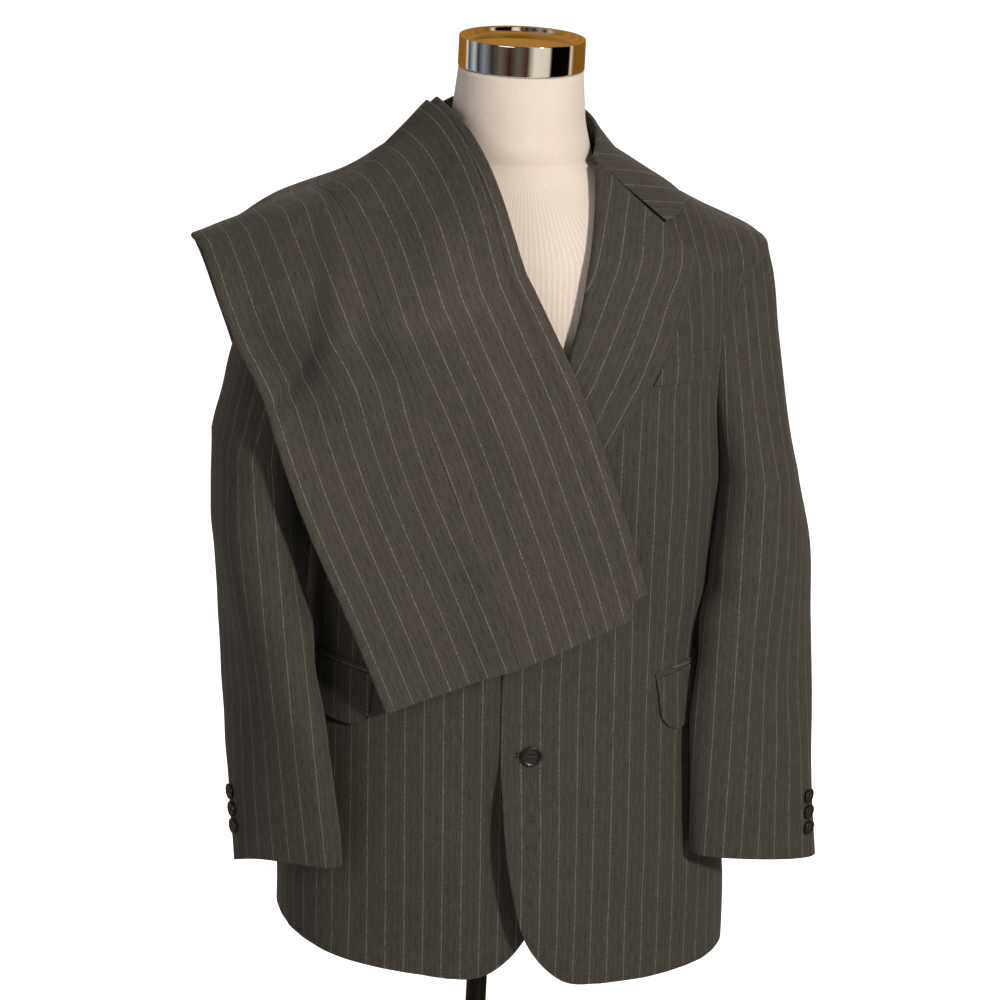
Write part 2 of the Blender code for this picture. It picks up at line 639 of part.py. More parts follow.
def make_pockets():
    for name, side in SIDES:
        along = np.array([0.0, 0.003, 0.010, 0.022, 0.044, 0.065, 0.085, 0.106, 0.128, 0.140, 0.147, 0.150])
        share = np.linspace(0.0, 1.0, 5)[:, None]
        flap = hip_places(name, along[None, :], flap_depth(along)[None, :] * share)
        on_trunk(f"flap_{name}", sided(flap, side), 0.0008, 0.0016, WORSTED)
        jet = hip_places(name, np.linspace(0.0, FLAP_WIDTH, 9), np.array([[-JET_DEPTH], [-0.0005]]))
        on_trunk(f"jet_{name}", sided(jet, side), 0.0007, PLY, WORSTED)
    reach = np.linspace(0.0, 1.0, 5)[None, :]
    drop = np.linspace(0.0, 1.0, 3)[:, None]
    top_start, low_start = WELT_START, WELT_START - 0.012
    reach = (top_start + (low_start - top_start) * drop) * (1 - reach) + WELT_END * reach
    z = WELT_TOP - WELT_DEPTH * drop + 0.0 * reach
    on_trunk("breast_welt", np.stack([u_at(reach, z), z], -1), 0.0006, 0.0014, WORSTED)


FRONT_BUTTON_RADIUS, SLEEVE_BUTTON_RADIUS = 0.0102, 0.0076
FRONT_BUTTON_HEIGHTS = {"lower": 0.797, "upper": 0.905}
SLEEVE_BUTTON_RISES = (0.033, 0.049, 0.065)
SLEEVE_BUTTON_TURN = 46.0


def button(name, place, axis, radius, sides):
    """A sew-through button: a raised rim round a dished face."""
    profile = (
        (0.0, 0.62 * radius),
        (0.0010, 0.95 * radius),
        (0.0024, radius),
        (0.0036, 0.88 * radius),
        (0.0030, 0.66 * radius),
    )
    turned(name, profile, place, axis, sides, HORN)


def make_buttons():
    for name, height in FRONT_BUTTON_HEIGHTS.items():
        lift = float(lap_lift(0.0, height))
        place = swung(trunk(0.0, height, lift + 0.0006))
        button(f"front_button_{name}", place, trunk_normal(0.0, height), FRONT_BUTTON_RADIUS, 16)
    cuff = read(SLEEVE, "height", 5.0)
    for name, side in SIDES:
        for number, rise in enumerate(SLEEVE_BUTTON_RISES, 1):
            down = 1 - (1 - CROWN) * rise / (read(SLEEVE, "height", 0.0) - cuff)
            place = sleeve(SLEEVE_BUTTON_TURN, down, name, 0.0008)
            axis = unit(sleeve(SLEEVE_BUTTON_TURN, down, name, 0.010) - place) * (side, 1, 1)
            place = swung(place * (side, 1, 1))
            button(f"cuff_button_{name}_{number}", place, axis, SLEEVE_BUTTON_RADIUS, 10)


# ---------------------------------------------------------------- trousers
# The folded legs as rows from the hems in front, over the shoulder, to the waistband behind.  A
# row's ends are places in the plane of the garment's middle; the cloth lies out from them in the
# direction that `turn` gives: 0 is to the front, 90 up and 180 to the back.  `past` is how far the
# lower leg shows past the upper one's front crease.
TROUSER = table(
    "row turn left_x left_z right_x right_z past",
    (0, 0, -0.126, 0.840, 0.105, 0.936, 0.020),
    (1, 0, -0.148, 0.893, 0.089, 0.983, 0.020),
    (2, 0, -0.170, 0.944, 0.071, 1.030, 0.021),
    (3, 0, -0.193, 0.995, 0.052, 1.078, 0.022),
    (4, 0, -0.214, 1.045, 0.034, 1.124, 0.022),
    (5, 0, -0.232, 1.095, 0.014, 1.170, 0.021),
    (6, 0, -0.246, 1.140, -0.008, 1.216, 0.020),
    (7, 0, -0.266, 1.180, -0.030, 1.262, 0.018),
    (8, 12, -0.284, 1.207, -0.048, 1.296, 0.015),
    (9, 35, -0.294, 1.217, -0.064, 1.312, 0.012),
    (10, 62, -0.298, 1.220, -0.076, 1.318, 0.010),
    (11, 90, -0.304, 1.221, -0.083, 1.320, 0.010),
    (12, 118, -0.302, 1.218, -0.080, 1.317, 0.010),
    (13, 145, -0.295, 1.210, -0.068, 1.308, 0.012),
    (14, 168, -0.279, 1.188, -0.046, 1.290, 0.015),
    (15, 180, -0.256, 1.140, -0.010, 1.246, 0.018),
    (16, 180, -0.240, 1.082, 0.030, 1.196, 0.020),
    (17, 180, -0.226, 1.024, 0.068, 1.148, 0.020),
    (18, 180, -0.216, 0.968, 0.106, 1.102, 0.018),
    (19, 180, -0.208, 0.912, 0.140, 1.056, 0.014),
    (20, 180, -0.202, 0.858, 0.168, 1.012, 0.010),
    (21, 180, -0.196, 0.806, 0.188, 0.968, 0.006),
    (22, 180, -0.190, 0.756, 0.202, 0.926, 0.004),
    (23, 180, -0.182, 0.718, 0.211, 0.888, 0.004),
)
WAIST_ROW = 22.0
SIDE_SEAM_SHARE = 0.53  # where the side seam runs across the leg, from its back crease
LEFT_LEG_RISE = 0.32  # how many rows the lower leg's hem ends above the upper one's
REST_GAP, PLY_GAP = 0.0019, 0.0004
LOWER_LEG, INNER_LAYERS, PANEL, BAND = 0.0044, 0.0024, 0.0020, 0.0040
ROWS = np.concatenate([np.arange(0.0, 8.0), np.arange(8.0, 15.0, 0.5), np.arange(15.0, 24.0)])
TO_SIDE_SEAM = np.array([0.0, 0.09, 0.18, 0.27, 0.355, 0.44, SIDE_SEAM_SHARE])
SHARES = np.append(TO_SIDE_SEAM, [0.61, 0.69, 0.77, 0.85, 0.925, 1.0, 1.1])
# Where nothing carries the cloth it hangs this far out of the middle plane: in front and behind,
# and above it along the shoulder.
HANGING, FLATTER, STEP = 0.125, 0.40, 0.1
OVER = table(
    "share up",
    (0.00, 0.034),
    (0.28, 0.025),
    (0.84, 0.030),
    (1.00, 0.058),
    (1.10, 0.068),
)


def trouser_base(row, share):
    """The place in the middle plane that a place on the trousers lies out from, and its direction."""
    left = np.stack([read(TROUSER, "left_x", row), 0 * row, read(TROUSER, "left_z", row)], -1)
    right = np.stack([read(TROUSER, "right_x", row), 0 * row, read(TROUSER, "right_z", row)], -1)
    turn = np.radians(np.clip(read(TROUSER, "turn", row), 0, 180))
    out = np.stack([0 * turn, -np.cos(turn), np.sin(turn)], -1)
    return left + (right - left) * share[..., None], out


def hanging(row, share):
    """How far out the cloth hangs on its own: an ellipse over the shoulder, level sheets below it."""
    turn = np.radians(np.clip(read(TROUSER, "turn", row), 0, 180))
    # Past the end of the shoulder nothing holds the front and the back apart.
    flat = (1 - smooth(share, 0.0, 0.35)) * smooth(row, 3.5, 7.5) * (1 - smooth(row, 14.5, 18.5))
    depth = HANGING * (1 - FLATTER * flat)
    return 1 / np.sqrt((np.cos(turn) / depth) ** 2 + (np.sin(turn) / read(OVER, "up", share)) ** 2)


def rest_heights(base, out):
    """How far out the garment under the trousers reaches, along a ray at each place."""
    points, triangles, count = [], [], 0
    for made_points, made_faces in MESHES.values():
        points.extend(made_points.tolist())
        triangles.extend((made_faces + count).tolist())
        count += len(made_points)
    tree = BVHTree.FromPolygons(points, triangles)
    reach = 0.6
    heights = np.full(base.shape[:2], -1.0)
    for place in np.ndindex(*base.shape[:2]):
        start = base[place] + out[place] * reach
        hit = tree.ray_cast(start.tolist(), (-out[place]).tolist(), reach)
        if hit[0] is not None:
            heights[place] = reach - hit[3]
    return heights


def grid_places(keys, at):
    """The cell of each value among the keys, and how far through the cell it lies."""
    i = np.clip(np.searchsorted(keys, at) - 1, 0, len(keys) - 2)
    return i, (at - keys[i]) / (keys[i + 1] - keys[i])


def skin_read(skin, rows, shares):
    i, down = grid_places(ROWS, rows)
    j, across = grid_places(SHARES, shares)
    low = skin[i, j] * (1 - across) + skin[i, j + 1] * across
    high = skin[i + 1, j] * (1 - across) + skin[i + 1, j + 1] * across
    return low * (1 - down) + high * down


def trouser_skin(rounds=400, hold=0.20):
    """The underside of the lowest layer: it lies on what is highest and spans the hollows."""
    between_rows = np.interp(np.arange(0, len(ROWS) - 1 + STEP / 2, STEP), np.arange(len(ROWS)), ROWS)
    between_shares = np.interp(np.arange(0, len(SHARES) - 1 + STEP / 2, STEP), np.arange(len(SHARES)), SHARES)
    rows, shares = np.meshgrid(between_rows, between_shares, indexing="ij")
    rest = rest_heights(*trouser_base(rows, shares)) + REST_GAP
    own = hanging(*np.meshgrid(ROWS, SHARES, indexing="ij"))
    cell_row, cell_share = grid_places(ROWS, rows)[0], grid_places(SHARES, shares)[0]
    floor = own.copy()
    skin = own.copy()
    for _ in range(12):
        # Every corner of a cell rises until nothing stands through the cell.
        short = rest - skin_read(skin, rows, shares)
        lift = np.zeros_like(skin)
        for di, dj in ((0, 0), (0, 1), (1, 0), (1, 1)):
            np.maximum.at(lift, (cell_row + di, cell_share + dj), short)
        floor = np.maximum(floor, np.where(lift > 0, skin + lift, 0.0))
        for _ in range(rounds // 12):
            padded = np.pad(skin - own, 1, mode="edge")
            around = padded[:-2, 1:-1] + padded[2:, 1:-1] + padded[1:-1, :-2] + padded[1:-1, 2:]
            skin = np.maximum(own + around / (4 + hold), floor)
    return skin


def trouser_places(skin, rows, shares, off):
    """Places on the draped trousers, `off` above their underside."""
    rows, shares, off = np.broadcast_arrays(rows, shares, off)
    base, out = trouser_base(rows, shares)
    return base + out * (skin_read(skin, rows, shares) + off)[..., None]


def layer(name, skin, rows, shares, off, thickness, finish=None):
    """One cloth layer of the folded trousers."""
    rows, shares = np.broadcast_arrays(np.asarray(rows)[:, None], np.atleast_2d(shares))
    inner = trouser_places(skin, rows, shares, off)
    outer = trouser_places(skin, rows, shares, off + thickness)
    wall(name, outer, inner, finish or TROUSERS)


def make_trousers():
    skin = trouser_skin()
    seam = 0.0007  # half a seam's gap, as a share of the leg's width
    legs = np.append(ROWS[ROWS < WAIST_ROW], WAIST_ROW - 0.003)
    band = np.array([WAIST_ROW + 0.003, WAIST_ROW + 0.5, ROWS[-1]])
    across = SHARES[SHARES <= 1.0]
    lower = np.append(LEFT_LEG_RISE, legs[1:])
    width = np.hypot(
        read(TROUSER, "right_x", lower) - read(TROUSER, "left_x", lower),
        read(TROUSER, "right_z", lower) - read(TROUSER, "left_z", lower),
    )
    past = np.tile(np.append(across, 1.0), (len(lower), 1))
    past[:, 0] = 0.015
    past[:, -1] += read(TROUSER, "past", lower) / width
    layer("trousers_left_leg", skin, lower, past, 0.0, LOWER_LEG)
    off = LOWER_LEG + PLY_GAP
    inside = np.concatenate([[0.006], across[1:-1], [0.994]])
    layer("trousers_right_inner", skin, np.append(0.03, legs[1:]), inside, off, INNER_LAYERS)
    off += INNER_LAYERS + PLY_GAP
    at = int(np.searchsorted(across, SIDE_SEAM_SHARE))
    back = np.append(across[:at], SIDE_SEAM_SHARE - seam)
    front = np.append(SIDE_SEAM_SHARE + seam, across[at + 1 :])
    layer("trousers_right_back", skin, legs, back, off, PANEL)
    layer("trousers_right_front", skin, legs, front, off, PANEL)
    layer("waistband_left", skin, band, np.append(0.01, across[1:]), 0.0, LOWER_LEG)
    layer("waistband_right", skin, band, across, LOWER_LEG + PLY_GAP, BAND)
    make_trouser_details(skin, off + PANEL)


LOOP_SHARES = (0.06, 0.30, 0.58, 0.84)
LOOP_WIDTH, LOOP_WALL = 0.026, 0.0014
WELT_ROWS, WELT_SHARES = (20.62, 20.82), (0.17, 0.45)


def make_trouser_details(skin, top):
    """Belt loops, and the welt and button of the back pocket."""
    off = LOWER_LEG + PLY_GAP + BAND + 0.0006
    for number, share in enumerate(LOOP_SHARES, 1):
        rows = (WAIST_ROW + 0.06, WAIST_ROW + 0.5, WAIST_ROW + 0.96)
        layer(f"belt_loop_{number}", skin, rows, (share, share + LOOP_WIDTH), off, LOOP_WALL)
    layer("back_pocket_welt", skin, WELT_ROWS, np.linspace(*WELT_SHARES, 5), top + 0.0006, 0.0014)
    middle = np.array([[20.40]]), np.array([[sum(WELT_SHARES) / 2]])
    place = trouser_places(skin, *middle, top + 0.0006)[0, 0]
    button("back_pocket_button", place, (0.0, 1.0, 0.0), SLEEVE_BUTTON_RADIUS, 10)


# ---------------------------------------------------------------- dress form and stand
FORM = table(
    "height clear",
    (0.700, 0.0300),
    (0.712, 0.0225),
    (0.740, 0.0210),
    (0.840, 0.0190),
    (0.960, 0.0160),
    (1.050, 0.0140),
    (1.130, 0.0125),
    (1.190, 0.0108),
    (1.240, 0.0095),
    (1.262, 0.0085),
    (1.285, 0.0072),
    (1.310, 0.0074),
    (1.334, 0.0094),
)
NECK = table(
    "height radius_x radius_y y",
    (1.347, 0.0730, 0.0655, 0.006),
    (1.360, 0.0695, 0.0690, 0.006),
    (1.380, 0.0640, 0.0640, 0.003),
    (1.405, 0.0610, 0.0610, 0.001),
    (1.4305, 0.0585, 0.0585, 0.000),
)
CAP_RADIUS, CAP_TOP, CAP_HEIGHT, CAP_DISH = 0.0592, 1.4600, 0.0290, 0.0060
POLE_RADIUS, BASE_RADIUS, BASE_THICKNESS, HUB_HEIGHT = 0.0105, 0.1700, 0.0100, 0.0600
SOCKET_RADIUS, SOCKET_HEIGHT = 0.0300, 0.0180
FORM_SIDES = 36


def make_form():
    rings = []
    for height, clear in zip(FORM["height"], FORM["clear"]):
        u = np.arange(FORM_SIDES) * 2 / FORM_SIDES - 1 + 1e-6
        rings.append(trunk(u, height, -clear))
    rings[0][:, 2] = FORM["height"][0]
    flat = unit(rings[-2][:, :2] * (0.62, 1.0))
    for height, radius_x, radius_y, y in zip(*NECK.values()):
        x_y = flat * (radius_x, radius_y) + (0.0, y)
        rings.append(np.column_stack([x_y, np.full(FORM_SIDES, height)]))
    loft("form_torso", rings, JERSEY)
    low = CAP_TOP - CAP_HEIGHT
    cap = (
        (0.0, CAP_RADIUS - 0.0015),
        (0.0015, CAP_RADIUS),
        (CAP_HEIGHT - 0.0020, CAP_RADIUS),
        (CAP_HEIGHT, CAP_RADIUS - 0.0020),
        (CAP_HEIGHT - 0.0010, CAP_RADIUS - 0.0050),
        (CAP_HEIGHT - CAP_DISH, CAP_RADIUS - 0.0120),
    )
    turned("neck_cap", cap, (0, 0, low), (0, 0, 1), 40, CHROME)
    bottom = FORM["height"][0] - 0.0003
    socket = ((0.0, 0.020), (0.004, SOCKET_RADIUS - 0.004), (SOCKET_HEIGHT, SOCKET_RADIUS))
    turned("pole_socket", socket, (0, 0, bottom - SOCKET_HEIGHT), (0, 0, 1), 24, STEEL)
    foot = BASE_THICKNESS + HUB_HEIGHT + 0.0003
    top = bottom - SOCKET_HEIGHT - 0.0003
    turned("pole", ((foot, POLE_RADIUS), (top, POLE_RADIUS)), (0, 0, 0), (0, 0, 1), 20, STEEL)
    base = (
        (0.0, BASE_RADIUS - 0.001),
        (0.0010, BASE_RADIUS),
        (BASE_THICKNESS - 0.003, BASE_RADIUS),
        (BASE_THICKNESS, BASE_RADIUS - 0.004),
        (BASE_THICKNESS + 0.002, 0.040),
        (BASE_THICKNESS + 0.010, 0.022),
        (BASE_THICKNESS + HUB_HEIGHT - 0.002, 0.018),
        (BASE_THICKNESS + HUB_HEIGHT, 0.016),
    )
    turned("stand_base", base, (0, 0, 0), (0, 0, 1), 36, STEEL)


def main():
    for startup in list(bpy.data.objects):
        bpy.data.objects.remove(startup)
    make_trunk_panels()
    make_lapels()
    make_collar()
    make_sleeves()
    make_pockets()
    make_buttons()
    make_trousers()
    make_form()


main()
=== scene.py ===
# %% [markdown]
# # A pinstripe suit on a dress form
# The suit is a worn jacket and a pair of trousers folded leg on leg and hung over one shoulder
# of the form. The solids give the place of every panel; this file dresses each of them with a
# finer piece of the same shape, with rolled edges, soft creases, stripes and weave.

# %% Load the frame
import json
import math

import bpy
import numpy as np
from mathutils import Matrix, Vector
from mathutils.bvhtree import BVHTree

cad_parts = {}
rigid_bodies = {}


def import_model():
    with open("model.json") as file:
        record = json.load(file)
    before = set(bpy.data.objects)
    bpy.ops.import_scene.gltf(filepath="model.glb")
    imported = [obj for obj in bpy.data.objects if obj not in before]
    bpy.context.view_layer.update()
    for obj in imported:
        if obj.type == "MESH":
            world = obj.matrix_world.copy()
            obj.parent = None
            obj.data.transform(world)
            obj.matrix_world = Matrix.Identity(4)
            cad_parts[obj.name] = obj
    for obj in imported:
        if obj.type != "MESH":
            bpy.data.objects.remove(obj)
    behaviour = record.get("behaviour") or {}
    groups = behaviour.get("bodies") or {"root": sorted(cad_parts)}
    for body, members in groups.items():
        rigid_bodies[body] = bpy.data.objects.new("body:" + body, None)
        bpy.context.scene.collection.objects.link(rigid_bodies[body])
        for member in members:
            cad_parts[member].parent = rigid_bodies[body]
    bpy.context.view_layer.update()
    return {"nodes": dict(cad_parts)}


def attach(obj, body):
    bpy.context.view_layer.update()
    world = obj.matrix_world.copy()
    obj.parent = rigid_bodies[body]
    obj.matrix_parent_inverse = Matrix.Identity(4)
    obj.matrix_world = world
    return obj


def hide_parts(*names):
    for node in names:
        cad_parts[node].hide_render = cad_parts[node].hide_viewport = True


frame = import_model()

# %% [markdown]
# ## Where the camera stands
# The camera is made first, so that every later step can be looked at. It stands 2.8 m from the
# form, a little to the form's right and above its head, and leans a few degrees. A long lens
# keeps the shoulders and the hem nearly the same scale.

# %% Camera
def placed(name, data):
    made = bpy.data.objects.new(name, data)
    bpy.context.scene.collection.objects.link(made)
    return made


CAMERA_TURN, CAMERA_PITCH, CAMERA_ROLL = math.radians(-11.0), math.radians(18.23), math.radians(2.8)
CAMERA_DISTANCE, CAMERA_HEIGHT = 2.8, 1.928
ahead = Vector((-math.sin(CAMERA_TURN) * math.cos(CAMERA_PITCH),
                math.cos(CAMERA_TURN) * math.cos(CAMERA_PITCH), -math.sin(CAMERA_PITCH)))
level = Vector((math.cos(CAMERA_TURN), math.sin(CAMERA_TURN), 0.0))
upward = level.cross(ahead)
across = level * math.cos(CAMERA_ROLL) + upward * math.sin(CAMERA_ROLL)
above = upward * math.cos(CAMERA_ROLL) - level * math.sin(CAMERA_ROLL)
camera = placed("camera", bpy.data.cameras.new("camera"))
camera.matrix_world = Matrix.Translation((math.sin(CAMERA_TURN) * CAMERA_DISTANCE,
                                          -math.cos(CAMERA_TURN) * CAMERA_DISTANCE, CAMERA_HEIGHT)) \
    @ Matrix((across, above, -ahead)).transposed().to_4x4()
camera.data.sensor_width = 36.0
camera.data.lens = 108.76
bpy.context.scene.camera = camera
# Plain sRGB, as in a shop's catalogue, keeps the cloth's own depth of colour.
bpy.context.scene.view_settings.view_transform = "Standard"
print("camera at", [round(v, 3) for v in camera.location])

# %% [markdown]
# ## Reading smooth curves
# A garment is drafted from a few measured stations. `through` draws one smooth curve through such
# numbers, as a tailor draws a line through chalk marks, so a panel can have as many rows as it
# needs while it keeps the drafted shape.

# %% Curves through stations
def through(keys, values, at):
    """A smooth curve through values given at rising keys; values may have several columns."""
    keys, values = np.asarray(keys, float), np.asarray(values, float)
    slopes = np.gradient(values, keys, axis=0)
    at = np.clip(np.asarray(at, float), keys[0], keys[-1])
    i = np.clip(np.searchsorted(keys, at) - 1, 0, len(keys) - 2)
    span = keys[i + 1] - keys[i]
    t = (at - keys[i]) / span
    shape = t.shape + (1,) * (values.ndim - 1)
    span, t = span.reshape(shape), t.reshape(shape)
    start = (1 + 2 * t) * (1 - t) ** 2 * values[i] + t * (1 - t) ** 2 * span * slopes[i]
    return start + t * t * (3 - 2 * t) * values[i + 1] + t * t * (t - 1) * span * slopes[i + 1]


def table(columns, *rows):
    return dict(zip(columns.split(), np.array(rows, float).T))


def read(rows, name, at):
    return through(next(iter(rows.values())), rows[name], at)


def smooth(x, low, high):
    """0 below low, 1 above high, with a soft step between."""
    t = np.clip((np.asarray(x, float) - low) / (high - low), 0.0, 1.0)
    return t * t * (3 - 2 * t)


def band(x, rise, top, fall, end):
    """1 between top and fall, with a soft step on either side."""
    return smooth(x, rise, top) * (1 - smooth(x, fall, end))


def bent(wave, power):
    """A sine or cosine made rounder or squarer, with its sign kept."""
    return np.sign(wave) * np.abs(wave) ** power


def unit(vectors):
    return vectors / np.maximum(np.linalg.norm(vectors, axis=-1, keepdims=True), 1e-12)


def floats(*values):
    """Arrays of one shape from numbers and arrays."""
    return np.broadcast_arrays(*(np.asarray(value, float) for value in values))


def fold(across_m, centre, width):
    """One soft fold: a bell-shaped rise across its line."""
    return np.exp(-((across_m - centre) / width) ** 2)


def joined(*columns):
    """Points or places from their coordinates."""
    return np.stack(np.broadcast_arrays(*columns), -1)


def split(places):
    return np.moveaxis(places, -1, 0)


def cell_of(keys, at):
    i = np.clip(np.searchsorted(keys, at) - 1, 0, len(keys) - 2)
    return i, (at - keys[i]) / (keys[i + 1] - keys[i])


def inside_cell(grid, i, j, down, along):
    high, low = (grid[row, j] * (1 - along) + grid[row, j + 1] * along for row in (i, i + 1))
    return high * (1 - down) + low * down


def grid_read(grid, row_keys, share_keys, rows, shares):
    (i, down), (j, along) = cell_of(row_keys, rows), cell_of(share_keys, shares)
    return inside_cell(grid, i, j, down, along)


print("half way between two stations:", through([0, 1, 2], [0.0, 1.0, 4.0], np.array([1.5])))

# %% [markdown]
# ## The jacket's trunk
# The trunk is a stack of level rings. A place on it is (u, z): z is the height, and u runs from 0
# at centre front through 0.5 at the side to 1 at centre back. Lapels, flaps and welts are laid on
# the same places, a little further out.

# %% Trunk rings
TRUNK = table(
    "height half_width front back squareness",
    (0.540, 0.2285, 0.1500, 0.1440, 2.30),
    (0.640, 0.2262, 0.1490, 0.1440, 2.30),
    (0.760, 0.2140, 0.1440, 0.1400, 2.30),
    (0.875, 0.2000, 0.1380, 0.1290, 2.30),
    (0.960, 0.1930, 0.1340, 0.1200, 2.30),
    (1.050, 0.1950, 0.1380, 0.1270, 2.30),
    (1.130, 0.1990, 0.1430, 0.1370, 2.30),
    (1.190, 0.2060, 0.1400, 0.1400, 2.25),
    (1.240, 0.2250, 0.1280, 0.1340, 2.20),
    (1.272, 0.2440, 0.1170, 0.1260, 2.15),
    (1.300, 0.1880, 0.1010, 0.1130, 2.10),
    (1.330, 0.1280, 0.0820, 0.0980, 2.05),
    (1.352, 0.0850, 0.0650, 0.0830, 2.00),
    (1.370, 0.0520, 0.0500, 0.0700, 2.00),
)
LEFT_FULLNESS = 0.0095  # the left side stands out by this much above the waist
HEIGHTS = np.linspace(0.540, 1.370, 167)
ARC = np.linspace(0.0, 1.0, 161)


def trunk_ring(height):
    """Half a level section, from centre front to centre back, even in arc length."""
    angle = np.linspace(0.0, math.pi, 241)
    power = 2 / read(TRUNK, "squareness", height)
    x = read(TRUNK, "half_width", height) * np.sin(angle) ** power
    depth = np.where(angle < math.pi / 2, read(TRUNK, "front", height), read(TRUNK, "back", height))
    y = -depth * bent(np.cos(angle), power)
    side = np.argmax(x)
    length = np.concatenate([[0.0], np.cumsum(np.hypot(np.diff(x), np.diff(y)))])
    share = np.where(np.arange(len(x)) <= side, 0.5 * length / length[side],
                     0.5 + 0.5 * (length - length[side]) / (length[-1] - length[side]))
    return np.interp(ARC, share, x), np.interp(ARC, share, y), length[side], length[-1] - length[side]


rings = [trunk_ring(height) for height in HEIGHTS]
RING_X, RING_Y, FRONT_ARC, BACK_ARC = (np.array(column) for column in zip(*rings))
print("chest girth", round(float(2 * (FRONT_ARC + BACK_ARC)[118]), 3), "m")


# %% Places on the trunk
def row_of(z):
    return np.clip((z - HEIGHTS[0]) / (HEIGHTS[1] - HEIGHTS[0]), 0, len(HEIGHTS) - 1.001)


def ring_read(grid, u, z):
    """Reads a grid over (height, share of the ring) between its points."""
    row, col = row_of(z), np.clip(u * (len(ARC) - 1), 0, len(ARC) - 1.001)
    i, j = row.astype(int), col.astype(int)
    return inside_cell(grid, i, j, row - i, col - j)


def trunk_base(u, z):
    u, z = floats(u, z)
    turn = (u + 1) % 2 - 1
    x = ring_read(RING_X, np.abs(turn), z) * np.where(turn < 0, -1.0, 1.0)
    side = band(turn, 0.15, 0.40, 0.44, 0.59)
    x = x + LEFT_FULLNESS * side * band(z, 0.870, 0.960, 1.05, 1.155)
    return joined(x, ring_read(RING_Y, np.abs(turn), z), z)


def trunk_normal(u, z):
    along = trunk_base(u + 0.012, z) - trunk_base(u - 0.012, z)
    up = trunk_base(u, np.minimum(z + 0.006, 1.368)) - trunk_base(u, np.maximum(z - 0.006, 0.541))
    return unit(np.cross(along, up))


def trunk(u, z, out=0.0):
    u, z, out = floats(u, z, out)
    return trunk_base(u, z) + trunk_normal(u, z) * out[..., None]


def arc_of(u, z):
    """Metres along the ring for one unit of u."""
    return 2 * np.where(np.abs(u) < 0.5, np.interp(z, HEIGHTS, FRONT_ARC), np.interp(z, HEIGHTS, BACK_ARC))


def u_at(reach, z):
    """The u of the front's place that lies `reach` metres to the side of the centre line."""
    reach, z = floats(reach, z)
    half = len(ARC) // 2 + 1
    found = []
    for r, at in zip(reach.ravel(), row_of(z).ravel()):
        i = int(at)
        ring = RING_X[i, :half] * (i + 1 - at) + RING_X[i + 1, :half] * (at - i)
        found.append(math.copysign(np.interp(abs(r), ring, ARC[:half]), r))
    return np.array(found).reshape(reach.shape)


NECK_POINT_Z, HEM_Z = 1.352, 0.563
SWING, TILT = 0.0244, 0.07


def swung(points):
    """The jacket swings a little to the wearer's left as it hangs from the shoulders."""
    x, y, z = split(np.asarray(points, float))
    loose = 1 - smooth(z, 1.02, 1.30)
    return joined(x + SWING * np.maximum(NECK_POINT_Z - z, 0), y, z - TILT * x * loose)


print("shoulder ridge at", np.round(swung(trunk(0.5, 1.30)), 3))

# %% [markdown]
# ## How the worsted hangs
# Pressed worsted hangs nearly smooth, but never as even as a drawn ring: long shallow swells run
# down it, it pulls a little towards the button that is done up, and the skirt falls in soft
# waves. One function of the place gives all of this, so neighbouring panels, flaps and welts move
# together. The swells are sums of sine waves with a fixed seed.

# %% Creases of the trunk
def swells(seed, count, long_low, long_high, lean):
    """Wave numbers and phases for `count` waves; lean is how far they depart from upright."""
    dice = np.random.default_rng(seed)
    waves = 2 * math.pi / dice.uniform(long_low, long_high, count)
    angle = dice.normal(0.0, lean, count)
    return waves * np.cos(angle), waves * np.sin(angle), dice.uniform(0, 6.283, count)


def swell_at(waves, across_m, along_m):
    kx, ky, phase = waves
    total = sum(np.sin(a * across_m + b * along_m + c) for a, b, c in zip(kx, ky, phase))
    return total / math.sqrt(len(kx))


TRUNK_SWELLS, FINE_SWELLS = swells(4, 9, 0.06, 0.17, 0.5), swells(11, 8, 0.025, 0.05, 0.35)
HALF_GIRTH = 0.66


def creases(u, z):
    """How far the cloth stands off the drafted trunk, in metres."""
    u, z = floats(u, z)
    turn = (u + 1) % 2 - 1
    across_m, side = turn * HALF_GIRTH, np.abs(turn) * HALF_GIRTH
    rise = 0.0007 * swell_at(TRUNK_SWELLS, across_m, z) + 0.00022 * swell_at(FINE_SWELLS, across_m, z)
    skirt = 1 - smooth(z, 0.60, 0.86)
    rise = rise + skirt * 0.0016 * (np.sin(across_m * 27 + 1.1) + 0.5 * np.sin(across_m * 41 + 2.0))
    # Two faint pulls run up and down from the button that is done up.
    for slope in (0.55, -0.75):
        near = band(side, 0.008, 0.03, 0.06, 0.16)
        rise = rise + 0.0011 * near * fold(z - 0.905 - slope * side, 0, 0.009)
    # Drape folds in front of and behind each armhole, and a bow under the back of the collar.
    chest = band(z, 0.98, 1.06, 1.13, 1.21)
    rise = rise + 0.0020 * chest * fold(side, 0.262 - 0.10 * (z - 1.08), 0.011)
    blade = band(z, 0.96, 1.06, 1.17, 1.26)
    rise = rise + 0.0026 * blade * fold(side, 0.430 + 0.08 * (z - 1.10), 0.013)
    under_collar = 1.316 - 0.25 * np.maximum(HALF_GIRTH - side, 0)
    rise = rise - 0.0018 * fold(z, under_collar, 0.008) * smooth(side, 0.52, 0.60)
    # The waist is shaped in by the dart and the seams, so cloth above it has a slight blouse.
    rise = rise + 0.0012 * fold(z, 1.005, 0.035) * band(side, 0.36, 0.42, 0.52, 0.60)
    return rise * (1 - smooth(z, 1.325, 1.350))


def on_jacket(u, z, out=0.0):
    return swung(trunk(u, z, out + creases(u, z)))


print("creases range over", round(1000 * float(np.ptp(creases(*np.meshgrid(ARC, HEIGHTS)))), 2), "mm")

